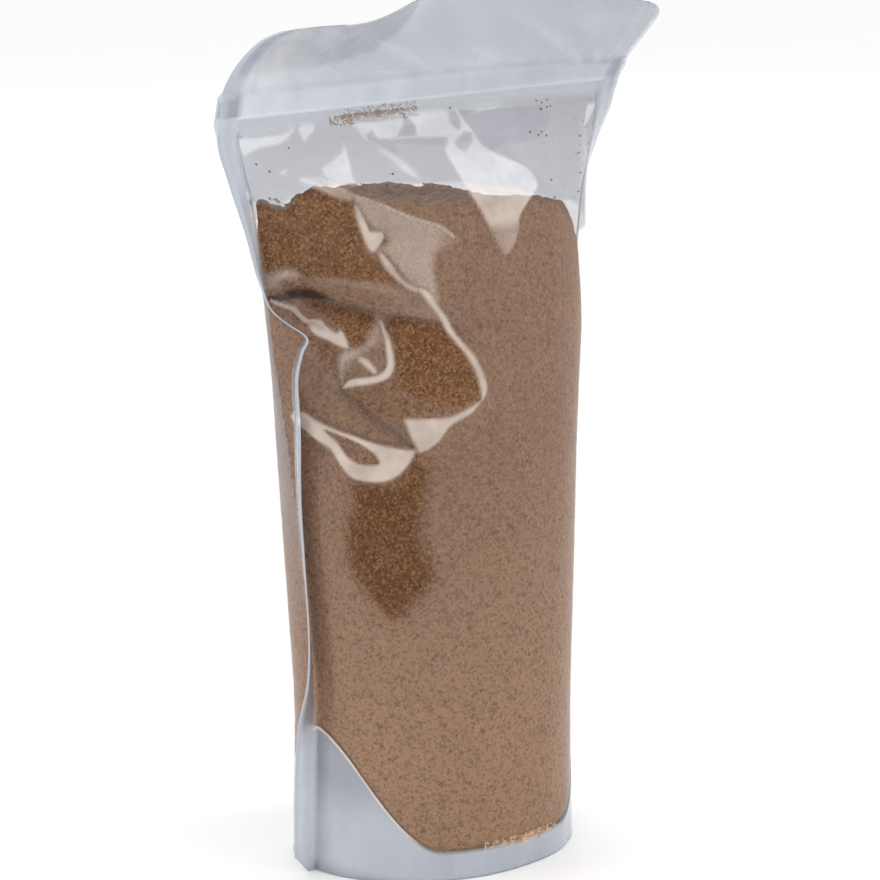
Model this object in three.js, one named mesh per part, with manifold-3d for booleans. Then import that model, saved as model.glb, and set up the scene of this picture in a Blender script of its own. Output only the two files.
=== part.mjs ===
// A clear stand-up pouch filled with brown sugar: front and back panels welded at the sides,
// a gusset that opens to a bowl under the sugar, and a header with a press-to-close zip.
// Millimetres, +Z up, the front panel towards -Y, the origin at the middle of the base.

import * as THREE from 'three';
import { mergeVertices } from 'three/addons/utils/BufferGeometryUtils.js';
import Module from 'manifold-3d';

const wasm = await Module();
wasm.setup();

// Flat sizes of the bag
const PANEL_WIDTH = 144;      // one panel, between its side seals
const SEAL_WIDTH = 8;         // each welded side edge
const SEAL_THICKNESS = 1.2;
const SKIRT_THICKNESS = 1.2;

// Heights
const NECK_TOP = 233.5;       // the last full section under the zip
const ZIP_BASE = 236.5;       // the lower edge of the zip band
const ZIP_BAND = 9;           // its height
const ZIP_THICKNESS = 3.4;
const HEADER_LENGTH = 29;     // from the zip band to the top edge, along the film
const HEADER_THICKNESS = 1.4;

// The header leans forward from the zip up, least in its middle. Its left half flops over, and
// its right corner leans out from the zip band on.
const ZIP_TILT = 15;
const HEADER_TILT = { left: 73, middle: 27.5, right: 50 };
const FULL_TILT_AT = { left: 51, right: 80 };
const RIGHT_FLARE = { tilt: 30, from: 40 };
const HEADER_NARROWING = { left: 0.074, right: 0 };
const CORNER_RADIUS = { left: 7, right: 3, foot: 5 };

// Press-to-close strip in its channel
const ZIP_GAP = 0.3;
const ZIP_WEB = 0.7;
const ZIP_RIB = 0.35;
const ZIP_RIB_WIDTH = 1.2;
const ZIP_RIBS = [-1.9, 0, 1.9];
const CHANNEL = { height: 6.4, thickness: 2.0, middle: 5.2 }; // its middle, above the band's foot

// Gusset: the weld line between skirt and gusset, from the side seals to the middle
const WELD_AT_SIDE = 45;
const WELD_AT_MIDDLE = 8.5;
const WELD_LEVEL = 0.33;      // the share of the half width, about the middle, where the line is low
const FLAT_SHARE = 0.36;      // the part of each radius that lies flat on the floor
const BOWL_CURVE = 1.9;

// Sections of the filled body: how far it bulges to the front and back of the side seals, how
// pointed its ends are, its turn about Z, and the film that small wrinkles gather in
const STATIONS = [
  { z: 0, front: 41.2, back: 39.5, point: 1.0, turn: 0.5, gather: 4.5 },
  { z: 45, front: 46, back: 43.5, point: 1.05, turn: -1.5, gather: 2 },
  { z: 80, front: 45.5, back: 44, point: 1.0, turn: -3.4, gather: 0 },
  { z: 136, front: 39, back: 37.5, point: 1.05, turn: -3.4, gather: 0 },
  { z: 165, front: 34, back: 28.5, point: 1.1, turn: -3.4, gather: 0 },
  { z: 188, front: 30, back: 28.5, point: 1.15, turn: -2.4, gather: 0 },
  { z: 205, front: 25, back: 25, point: 1.25, turn: -0.8, gather: 0 },
  { z: 222, front: 15, back: 15, point: 1.4, turn: 0.6, gather: 0 },
  { z: ZIP_BASE, front: 1.8, back: 1.8, point: 1.5, turn: 1.2, gather: 0 },
];
const ZIP_TURN = STATIONS.at(-1).turn;
const SEAM_BEHIND_MIDDLE = 1; // the belly bulges a little more to the front

// The side seals: which way they point, in degrees forward of straight out, and how far the
// left one wanders on to the front panel
const SEALS = [
  { z: 0, left: 0, right: 4, wander: 0 },
  { z: 44, left: 4, right: -20, wander: 0 },
  { z: 62, left: 42, right: -50, wander: 0 },
  { z: 100, left: 62, right: -56, wander: 0 },
  { z: 119, left: 65, right: -56, wander: 1.5 },
  { z: 148, left: 69, right: -56, wander: 7.5 },
  { z: 160, left: 67.5, right: -56, wander: 10.5 },
  { z: 168, left: 65.5, right: -56, wander: 15 },
  { z: 173, left: 62.5, right: -55, wander: 18 },
  { z: 177, left: 61, right: -54.5, wander: 10 },
  { z: 181, left: 58, right: -54, wander: 1.5 },
  { z: 185, left: 51, right: -53, wander: 0 },
  { z: 190, left: 42, right: -52, wander: 0 },
  { z: 208, left: 24, right: -46, wander: 0 },
  { z: 220, left: 12, right: -30, wander: 0 },
  { z: ZIP_BASE, left: 0, right: 0, wander: 0 },
];

// Folds of the front panel, as places on the film: millimetres round from the left end of
// the section, and height. A crease stands proud by its lift, or sinks in where it is negative.
const DENT = { depth: 5, reach: 20, outline: [
  [0, 214], [38, 217], [42, 198], [53, 185.5], [61, 173], [67.5, 154], [61, 146], [46, 137], [0, 146],
] };
const BUCKLE = { lift: 3.2, reach: 6, outline: [[42.5, 175.5], [44, 161.5], [25, 155], [27.5, 165]] };
const CREASES = [
  { name: 'long ridge', lift: 1.6, reach: 6, line: [[39, 218], [42.5, 198], [53, 185.5], [62, 172.5],
    [67.5, 154], [61, 146], [47, 137]] },
  { name: 'pinch valley', lift: -4, reach: 9, line: [[1, 182.5], [32.5, 179.5], [61, 172.5]] },
  { name: 'ridge over the pinch', lift: 1.6, reach: 6, line: [[12, 188], [32, 189.5], [51, 184.5]] },
  { name: 'ridge under the pinch', lift: 2.6, reach: 5, line: [[15, 176.5], [30.5, 167]] },
  { name: 'lower valley', lift: -2.6, reach: 7, line: [[26, 154], [39, 145], [46, 138]] },
  { name: 'upper fold of the crescent', lift: 2.4, reach: 5, line: [[5, 148], [28, 143], [46, 137]] },
  { name: 'lower fold of the crescent', lift: 2.4, reach: 5, line: [[16, 140.5], [26, 131],
    [38, 128.5], [46, 136]] },
  { name: 'neck pleat', lift: 1.8, reach: 8, line: [[78, 230], [74, 214], [79, 195]] },
  { name: 'left neck pleat', lift: 1.4, reach: 7, line: [[46, 231], [40, 219]] },
];

// How finely the film is divided
const COLUMNS = 28;
const COLUMN_CROWDING = 0.05; // columns crowd towards the dented left side
const ROWS = [[0, 5, 2], [5, 60, 7], [60, 124, 7], [124, 224, 26], [224, NECK_TOP, 2]];
const BAND_ROWS = 2;
const HEADER_ROWS = 7;
const BOWL_ROWS = 7;
const SKIRT_ROWS = 3;

const radians = THREE.MathUtils.degToRad;
const UP = new THREE.Vector3(0, 0, 1);

// A smooth curve through one column of a table that is sorted by z
function smooth(table, key, z) {
  const height = THREE.MathUtils.clamp(z, table[0].z, table.at(-1).z);
  let i = 0;
  while (i < table.length - 2 && height >= table[i + 1].z) i += 1;
  const step = (j) => (table[j + 1][key] - table[j][key]) / (table[j + 1].z - table[j].z);
  const slope = (j) => (j === 0 || j === table.length - 1 ? 0 : (step(j - 1) + step(j)) / 2);
  const span = table[i + 1].z - table[i].z;
  const u = (height - table[i].z) / span;
  const v = 1 - u;
  return v * v * (1 + 2 * u) * table[i][key] + u * v * v * span * slope(i)
    + u * u * (1 + 2 * v) * table[i + 1][key] - u * u * v * span * slope(i + 1);
}

// The half width of a section whose front has this length of film
function halfWidth(bulge, point, film) {
  const steps = 60;
  let low = 20;
  let high = film / 2;
  for (let pass = 0; pass < 30; pass += 1) {
    const half = (low + high) / 2;
    let length = 0;
    for (let i = 1; i <= steps; i += 1) {
      const a = Math.PI * (i - 1) / steps;
      const b = Math.PI * i / steps;
      const rise = bulge * (Math.sin(b) ** point - Math.sin(a) ** point);
      length += Math.hypot(half * (Math.cos(a) - Math.cos(b)), rise);
    }
    if (length > film) high = half;
    else low = half;
  }
  return low;
}

// One height of the body: its sizes, worked out once for a whole ring of the film
function bodySection(z) {
  const at = (key) => smooth(STATIONS, key, z);
  const half = halfWidth(at('front'), at('point'), PANEL_WIDTH - at('gather'));
  return { z, half, front: at('front'), back: at('back'), point: at('point'), turn: radians(at('turn')) };
}

// A point of a section. q runs round from the left end: 0 to one panel width along the front,
// and negative along the back. out is how far the film stands off the smooth section.
function bodyPoint(section, q, out = 0) {
  const bulge = q < 0 ? section.back : -section.front;
  const angle = Math.PI * Math.abs(q) / PANEL_WIDTH;
  const x = -section.half * Math.cos(angle);
  const y = bulge * Math.max(Math.sin(angle), 0) ** section.point;
  const normal = new THREE.Vector2(x / section.half ** 2, y / bulge ** 2).normalize();
  const place = new THREE.Vector2(x, y).addScaledVector(normal, out);
  place.rotateAround(new THREE.Vector2(), section.turn);
  return new THREE.Vector3(place.x, place.y, section.z);
}

// The distance from a place on the film to a line of places, or to a closed outline
function distanceTo(line, q, z, closed) {
  let nearest = Infinity;
  const count = closed ? line.length : line.length - 1;
  for (let i = 0; i < count; i += 1) {
    const [q0, z0] = line[i];
    const [q1, z1] = line[(i + 1) % line.length];
    const along = ((q - q0) * (q1 - q0) + (z - z0) * (z1 - z0)) / ((q1 - q0) ** 2 + (z1 - z0) ** 2);
    const u = THREE.MathUtils.clamp(along, 0, 1);
    nearest = Math.min(nearest, Math.hypot(q - q0 - u * (q1 - q0), z - z0 - u * (z1 - z0)));
  }
  return nearest;
}

function isInside(outline, q, z) {
  let inside = false;
  outline.forEach(([q0, z0], i) => {
    const [q1, z1] = outline[(i + 1) % outline.length];
    if ((z0 > z) !== (z1 > z) && q < q0 + (q1 - q0) * (z - z0) / (z1 - z0)) inside = !inside;
  });
  return inside;
}

// 1 deep inside an outline, falling to 0 at its edge
function depthInside({ outline, reach }, q, z) {
  return isInside(outline, q, z) ? Math.min(distanceTo(outline, q, z, true) / reach, 1) : 0;
}

// How far the front film stands off the smooth section, falling to nothing at the side seals
function foldLift(q, z, fromSeal) {
  const dent = THREE.MathUtils.smoothstep(depthInside(DENT, q, z), 0, 1);
  let lift = BUCKLE.lift * depthInside(BUCKLE, q, z) - DENT.depth * dent;
  CREASES.forEach(({ lift: height, reach, line }) => {
    lift += height * Math.max(0, 1 - distanceTo(line, q, z, false) / reach);
  });
  return lift * Math.min(fromSeal / SEAL_WIDTH, 1);
}

// How far a rounded corner takes the edge back, at a distance from the bag's end
function cornerCut(fromEnd, radius) {
  return fromEnd < radius ? radius - Math.sqrt(radius ** 2 - (radius - fromEnd) ** 2) : 0;
}

// A side seal: a thin fin from the end of the section. Its four corners, front to back.
function sealCorners(root, outward) {
  const across = new THREE.Vector3(-outward.y, outward.x, 0).multiplyScalar(SEAL_THICKNESS / 2);
  const front = across.y < 0 || (across.y === 0 && across.x > 0) ? across : across.clone().negate();
  const tip = root.clone().addScaledVector(outward, SEAL_WIDTH - cornerCut(root.z, CORNER_RADIUS.foot));
  return {
    rootFront: root.clone().add(front),
    tipFront: tip.clone().add(front),
    tipBack: tip.clone().sub(front),
    rootBack: root.clone().sub(front),
  };
}

// Where the columns stand, from 0 at the left seal to 1 at the right one
const SHARES = Array.from({ length: COLUMNS + 1 }, (_, i) => {
  const u = i / COLUMNS;
  return u - COLUMN_CROWDING * Math.sin(2 * Math.PI * u) / 2;
});

// A ring of the film, counter-clockwise from above: front, right seal, back, left seal
function ringFrom(front, right, back, left) {
  return [
    left.rootFront, ...front.slice(1, -1), right.rootFront, right.tipFront,
    right.tipBack, right.rootBack, ...back.slice(1, -1).reverse(), left.rootBack,
    left.tipBack, left.tipFront,
  ];
}

function bodyRing(z) {
  const section = bodySection(z);
  const wander = Math.max(smooth(SEALS, 'wander', z), 0);
  const front = SHARES.map((share) => {
    const q = wander + share * (PANEL_WIDTH - wander);
    return bodyPoint(section, q, foldLift(q, z, Math.min(q - wander, PANEL_WIDTH - q)));
  });
  const back = SHARES.map((share) => bodyPoint(section, wander - share * (PANEL_WIDTH + wander)));
  const leftAngle = radians(180 + smooth(SEALS, 'left', z)) + section.turn;
  const rightAngle = radians(-smooth(SEALS, 'right', z)) + section.turn;
  const outward = (angle) => new THREE.Vector3(Math.cos(angle), Math.sin(angle), 0);
  const left = sealCorners(bodyPoint(section, wander), outward(leftAngle));
  const right = sealCorners(bodyPoint(section, PANEL_WIDTH), outward(rightAngle));
  return ringFrom(front, right, back, left);
}

// The middle of the flat sheet above the neck, s along the film from the zip band's lower edge
function sheetFrame(x, s) {
  const side = x < 0 ? 'left' : 'right';
  const { lerp, smoothstep } = THREE.MathUtils;
  const corner = smoothstep(Math.abs(x), 0, FULL_TILT_AT[side]);
  const topTilt = lerp(HEADER_TILT.middle, HEADER_TILT[side], corner);
  const flare = smoothstep(x, RIGHT_FLARE.from, PANEL_WIDTH / 2 + SEAL_WIDTH);
  const footTilt = ZIP_TILT + RIGHT_FLARE.tilt * flare;
  const bend = Math.max(0, s - ZIP_BAND) / HEADER_LENGTH;
  const tilt = radians(bend > 0 ? lerp(footTilt, topTilt, bend) : ZIP_TILT);
  const band = Math.min(s, ZIP_BAND);
  const mean = radians(lerp(footTilt, topTilt, bend / 2));
  const rest = Math.max(0, s - ZIP_BAND);
  const narrowing = HEADER_NARROWING[side];
  return {
    x: x * (1 - narrowing * bend),
    y: -band * Math.sin(radians(ZIP_TILT)) - rest * Math.sin(mean),
    z: ZIP_BASE + band * Math.cos(radians(ZIP_TILT)) + rest * Math.cos(mean),
    front: new THREE.Vector3(0, -Math.cos(tilt), -Math.sin(tilt)),
  };
}

function sheetPoint(x, s, offset) {
  const frame = sheetFrame(x, s);
  const place = new THREE.Vector3(frame.x, frame.y, frame.z).addScaledVector(frame.front, offset);
  return place.applyAxisAngle(UP, radians(ZIP_TURN));
}

// The outer edge of the sheet at s, with its rounded top corner
function sheetEdge(s, radius) {
  return PANEL_WIDTH / 2 + SEAL_WIDTH - cornerCut(ZIP_BAND + HEADER_LENGTH - s, radius);
}

function sheetRing(s, thickness) {
  const half = thickness / 2;
  const root = PANEL_WIDTH / 2;
  const xs = SHARES.map((share) => -root * Math.cos(Math.PI * share));
  const side = (x, tip) => ({
    rootFront: sheetPoint(x, s, half),
    tipFront: sheetPoint(tip, s, half),
    tipBack: sheetPoint(tip, s, -half),
    rootBack: sheetPoint(x, s, -half),
  });
  return ringFrom(
    xs.map((x) => sheetPoint(x, s, half)),
    side(root, sheetEdge(s, CORNER_RADIUS.right)),
    xs.map((x) => sheetPoint(x, s, -half)),
    side(-root, -sheetEdge(s, CORNER_RADIUS.left)),
  );
}

// The weld line's height, for a share of the way along the front or back panel
function weldHeight(share) {
  const fromMiddle = Math.abs(2 * share - 1);
  const climb = THREE.MathUtils.smoothstep(fromMiddle, WELD_LEVEL, 1);
  return THREE.MathUtils.lerp(WELD_AT_MIDDLE, WELD_AT_SIDE, climb);
}

// A ring inside the skirt, at a share of the weld's height, or of the bowl under the sugar,
// at a share of the way in from the weld. The seals shrink to the inner end of the section.
function innerRing(rise, inward) {
  const point = (q, share) => {
    const height = weldHeight(share) * rise;
    const wall = bodyPoint(bodySection(height), q, -SKIRT_THICKNESS);
    const radius = THREE.MathUtils.lerp(1, FLAT_SHARE, inward);
    const z = height * (1 - inward) ** BOWL_CURVE;
    return new THREE.Vector3(wall.x * radius, wall.y * radius, z);
  };
  const front = SHARES.map((share) => point(share * PANEL_WIDTH, share));
  const back = SHARES.map((share) => point(-share * PANEL_WIDTH, share));
  const shrunk = (place) => ({ rootFront: place, tipFront: place, tipBack: place, rootBack: place });
  return ringFrom(front, shrunk(front.at(-1)), back, shrunk(front[0]));
}

// A closed body from rings: each joined to the next, the first filled from its middle and
// the last from its front edge to its back edge
function loft(rings) {
  const positions = [];
  const indices = [];
  rings.forEach((ring) => ring.forEach((place) => positions.push(place.x, place.y, place.z)));
  const count = rings[0].length;
  for (let row = 0; row < rings.length - 1; row += 1) {
    for (let i = 0; i < count; i += 1) {
      const a = row * count + i;
      const b = row * count + (i + 1) % count;
      indices.push(a, b, b + count, a, b + count, a + count);
    }
  }
  const middle = positions.length / 3;
  positions.push(0, 0, 0);
  for (let i = 0; i < count; i += 1) indices.push(middle, (i + 1) % count, i);
  const top = (rings.length - 1) * count;
  const opposite = (i) => top + (2 * COLUMNS + 3 - i);
  for (let i = 0; i < COLUMNS + 1; i += 1) {
    indices.push(top + i, top + i + 1, opposite(i + 1), top + i, opposite(i + 1), opposite(i));
  }
  const last = top + count - 1;
  indices.push(top, opposite(0), last - 1, top, last - 1, last);
  const geometry = new THREE.BufferGeometry();
  geometry.setAttribute('position', new THREE.Float32BufferAttribute(positions, 3));
  geometry.setIndex(indices);
  return withoutSlivers(mergeVertices(geometry, 2e-3));
}

// Drops the triangles whose corners have merged
function withoutSlivers(geometry) {
  const index = Array.from(geometry.getIndex().array);
  const kept = [];
  for (let i = 0; i < index.length; i += 3) {
    const [a, b, c] = index.slice(i, i + 3);
    if (a !== b && b !== c && c !== a) kept.push(a, b, c);
  }
  geometry.setIndex(kept);
  return geometry;
}

function toSolid(geometry) {
  const plain = geometry.clone();
  plain.deleteAttribute('normal');
  plain.deleteAttribute('uv');
  const merged = mergeVertices(plain, 1e-4);
  return new wasm.Manifold(new wasm.Mesh({
    numProp: 3,
    vertProperties: new Float32Array(merged.getAttribute('position').array),
    triVerts: new Uint32Array(merged.getIndex().array),
  }));
}

function toGeometry(solid) {
  const mesh = solid.getMesh();
  const geometry = new THREE.BufferGeometry();
  geometry.setAttribute('position', new THREE.BufferAttribute(mesh.vertProperties, 3));
  geometry.setIndex(new THREE.BufferAttribute(mesh.triVerts, 1));
  geometry.computeVertexNormals();
  return geometry;
}

// Puts what was made along X about the origin into the channel's place in the zip band
function inZipBand(geometry) {
  const tilt = radians(ZIP_TILT);
  geometry.rotateX(tilt);
  geometry.translate(0, -CHANNEL.middle * Math.sin(tilt), ZIP_BASE + CHANNEL.middle * Math.cos(tilt));
  return geometry.rotateZ(radians(ZIP_TURN));
}

function makePouch() {
  const rings = [];
  for (let i = BOWL_ROWS; i >= 0; i -= 1) rings.push(innerRing(1, i / BOWL_ROWS));
  for (let i = SKIRT_ROWS - 1; i >= 0; i -= 1) rings.push(innerRing(i / SKIRT_ROWS, 0));
  ROWS.forEach(([from, to, steps], group) => {
    for (let i = group === 0 ? 0 : 1; i <= steps; i += 1) {
      rings.push(bodyRing(THREE.MathUtils.lerp(from, to, i / steps)));
    }
  });
  for (let i = 0; i <= BAND_ROWS; i += 1) {
    rings.push(sheetRing(ZIP_BAND * i / BAND_ROWS, ZIP_THICKNESS));
  }
  for (let i = 1; i <= HEADER_ROWS; i += 1) {
    rings.push(sheetRing(ZIP_BAND + HEADER_LENGTH * (i / HEADER_ROWS) ** 0.8, HEADER_THICKNESS));
  }
  const beyond = PANEL_WIDTH + 4 * SEAL_WIDTH;
  const channel = inZipBand(new THREE.BoxGeometry(beyond, CHANNEL.thickness, CHANNEL.height));
  return toGeometry(toSolid(loft(rings)).subtract(toSolid(channel)));
}

// The strip: a flat web with three ribs on each face, as long as the bag is wide
function makeZipStrip() {
  const top = CHANNEL.height / 2 - ZIP_GAP;
  const web = ZIP_WEB / 2;
  const face = [[-top, web]];
  ZIP_RIBS.forEach((rib) => {
    const half = ZIP_RIB_WIDTH / 2;
    face.push([rib - half, web], [rib - half / 2, web + ZIP_RIB]);
    face.push([rib + half / 2, web + ZIP_RIB], [rib + half, web]);
  });
  face.push([top, web]);
  const other = face.map(([z, y]) => [z, -y]).reverse();
  const outline = new THREE.Shape([...face, ...other].map(([z, y]) => new THREE.Vector2(y, z)));
  const length = PANEL_WIDTH + 2 * SEAL_WIDTH;
  const strip = new THREE.ExtrudeGeometry(outline, { depth: length, bevelEnabled: false });
  strip.translate(0, 0, -length / 2);
  strip.applyMatrix4(new THREE.Matrix4().set(0, 0, 1, 0, 1, 0, 0, 0, 0, 1, 0, 0, 0, 0, 0, 1));
  return inZipBand(strip);
}

const sugarInFilm = new THREE.MeshStandardMaterial({ color: 0x8e7058, roughness: 0.45, metalness: 0 });
const milkyPlastic = new THREE.MeshStandardMaterial({ color: 0xc4c9d2, roughness: 0.4, metalness: 0 });

function named(name, geometry, material) {
  const mesh = new THREE.Mesh(geometry, material);
  mesh.name = name;
  mesh.position.y = SEAM_BEHIND_MIDDLE;
  return mesh;
}

const group = new THREE.Group();
group.add(named('pouch', makePouch(), sugarInFilm));
group.add(named('zip_strip', makeZipStrip(), milkyPlastic));

export default group;
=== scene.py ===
# The looks of a clear stand-up pouch filled with brown sugar: a sewn-up skin of film with its
# folds, seals and skirt, the sugar inside it, loose grains, crumbs and the press-to-close zip.
# Sizes in the tables are millimetres; meshes, settings and the scene are in metres.

import math

import bpy
import numpy as np
from bpy.props import FloatProperty, FloatVectorProperty, IntProperty, PointerProperty, StringProperty
from mathutils import Matrix, Vector, noise


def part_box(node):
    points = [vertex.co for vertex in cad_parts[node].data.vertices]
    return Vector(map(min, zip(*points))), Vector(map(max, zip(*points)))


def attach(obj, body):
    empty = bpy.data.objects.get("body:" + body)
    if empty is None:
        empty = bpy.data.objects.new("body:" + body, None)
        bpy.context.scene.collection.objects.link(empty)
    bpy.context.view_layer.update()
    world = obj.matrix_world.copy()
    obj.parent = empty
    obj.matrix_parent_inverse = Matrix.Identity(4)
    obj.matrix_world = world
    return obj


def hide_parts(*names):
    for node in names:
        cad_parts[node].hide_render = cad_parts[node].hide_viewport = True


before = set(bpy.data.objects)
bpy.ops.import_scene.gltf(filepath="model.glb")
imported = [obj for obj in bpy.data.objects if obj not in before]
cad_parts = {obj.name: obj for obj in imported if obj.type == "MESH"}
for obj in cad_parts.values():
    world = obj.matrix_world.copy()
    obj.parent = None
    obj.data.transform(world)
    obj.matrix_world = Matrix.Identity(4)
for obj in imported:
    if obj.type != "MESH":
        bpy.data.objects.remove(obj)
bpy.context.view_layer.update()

bl_info = {
    "name": "Pouch of brown sugar",
    "version": (1, 0, 0),
    "blender": (4, 5, 0),
    "location": "View3D > Sidebar > Pouch",
    "description": "Dresses the pouch's frame with clear film, brown sugar, crumbs and a zip",
    "category": "Object",
}

MM = 0.001

# Flat widths of a panel between its seals and of a seal, and the thickness of welded film, of the
# skirt, of the header and of the zip band with its strip inside
PANEL = 144.0
SEAL = 8.0
SEAL_FILM = 0.5
SKIRT_FILM = 0.5
HEADER_FILM = 0.5
BAND_FILM = 2.9

# How far the middle of the bag lies behind the origin
BEHIND = 1.0

# Height of the zip band's foot, then the band, the strip's middle in it, and the header above it
ZIP_BASE = 236.5
ZIP_BAND = 9.0
ZIP_MIDDLE = 5.7
HEADER = 29.0

# How far the sheet above the neck leans forward in degrees, and how far from the middle the
# header leans as much as its corner. The right end flares forward from the zip band on.
ZIP_TILT = 15.0
HEADER_TILT = {"left": 73.0, "middle": 27.5, "right": 50.0}
FULL_TILT_AT = {"left": 51.0, "right": 80.0}
FLARE, FLARE_FROM = 30.0, 40.0
HEADER_NARROWING = {"left": 0.074, "right": 0.0}
CORNER = {"left": 7.0, "right": 9.0, "foot": 5.0}

# The weld between skirt and gusset, and the gusset's bowl under the sugar
WELD_AT_SIDE = 45.0
WELD_AT_MIDDLE = 8.5
WELD_LEVEL = 0.33
FLAT_SHARE = 0.36
BOWL_CURVE = 1.9

# Sections of the filled body: height, bulge to the front and back, pointedness, turn, gathered film
STATIONS = [
    (0, 41.2, 39.5, 1.0, 0.5, 4.5), (45, 46, 43.5, 1.05, -1.5, 2), (80, 45.5, 44, 1.0, -3.4, 0),
    (136, 39, 37.5, 1.05, -3.4, 0), (165, 34, 28.5, 1.1, -3.4, 0), (188, 30, 28.5, 1.15, -2.4, 0),
    (205, 25, 25, 1.25, -0.8, 0), (222, 15, 15, 1.4, 0.6, 0), (ZIP_BASE, 1.8, 1.8, 1.5, 1.2, 0),
]
FRONT, BACK, POINT, TURN, GATHER = range(1, 6)
ZIP_TURN = STATIONS[-1][TURN]

# The side seals: height, direction of the left and right one in degrees forward, and how far
# the left one wanders on to the front panel
SEALS = [
    (0, 0, 4, 0), (44, 4, -20, 0), (62, 42, -50, 0), (100, 62, -56, 0), (119, 65, -56, 1.5),
    (148, 69, -56, 7.5), (160, 67.5, -56, 10.5), (168, 65.5, -56, 15), (173, 62.5, -55, 18),
    (177, 61, -54.5, 10), (181, 58, -54, 1.5), (185, 51, -53, 0), (190, 42, -52, 0),
    (208, 24, -46, 0), (220, 12, -30, 0), (ZIP_BASE, 0, 0, 0),
]
LEFT_SEAL, RIGHT_SEAL, WANDER = 1, 2, 3

# Places on the front panel are pairs: millimetres of film round from the left end, and height.
# A point given twice is a sharp tip. The dent that the folds lie in, the buckle in it, and the
# creases with their lift and reach.
DENT = [(0, 214), (38, 217), (42, 198), (53, 185.5), (61, 173), (67.5, 154), (61, 146), (46, 137), (0, 146)]
DENT_DEPTH, DENT_REACH = 5.0, 20.0
BUCKLE = [(43.5, 175.5), (45, 162), (42, 159.5), (27.5, 155.5), (29.5, 165.5), (38, 168)]
BUCKLE_LIFT, BUCKLE_REACH, SUGAR_IN_BUCKLE = 3.0, 6.0, 0.4
LONG_RIDGE = [(35.5, 218.5), (42, 213), (42.5, 198.5), (47.5, 193.5), (55.5, 184.5), (61, 175),
              (65.5, 165.5), (68.3, 157), (67.5, 152), (60.5, 145.5), (47.5, 138)]
PINCH = [(1, 182.5), (14.5, 182.5), (25, 181), (37.5, 179), (50, 176), (63.5, 172)]
CREASES = [
    (LONG_RIDGE, 1.7, 5.0), (PINCH, -3.6, 8.0), ([(12, 188), (32, 189.5), (51, 184.5)], 1.4, 6.0),
    ([(17, 176.5), (30.5, 169.5)], 2.2, 5.0), ([(26.5, 155), (34, 149.5), (46, 138)], -2.2, 6.0),
    ([(5, 148), (28, 144), (46, 137)], 1.8, 5.0),
    ([(16, 141.5), (25, 132), (35, 127.5), (42, 131), (46, 137)], 1.8, 5.0),
    ([(78, 232), (74, 214), (79, 195)], 1.6, 8.0), ([(46, 233), (40, 219)], 1.2, 7.0),
    ([(55, 228), (60, 217)], 0.8, 3.0), ([(103, 232), (96, 210)], 0.7, 6.0),
]

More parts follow.
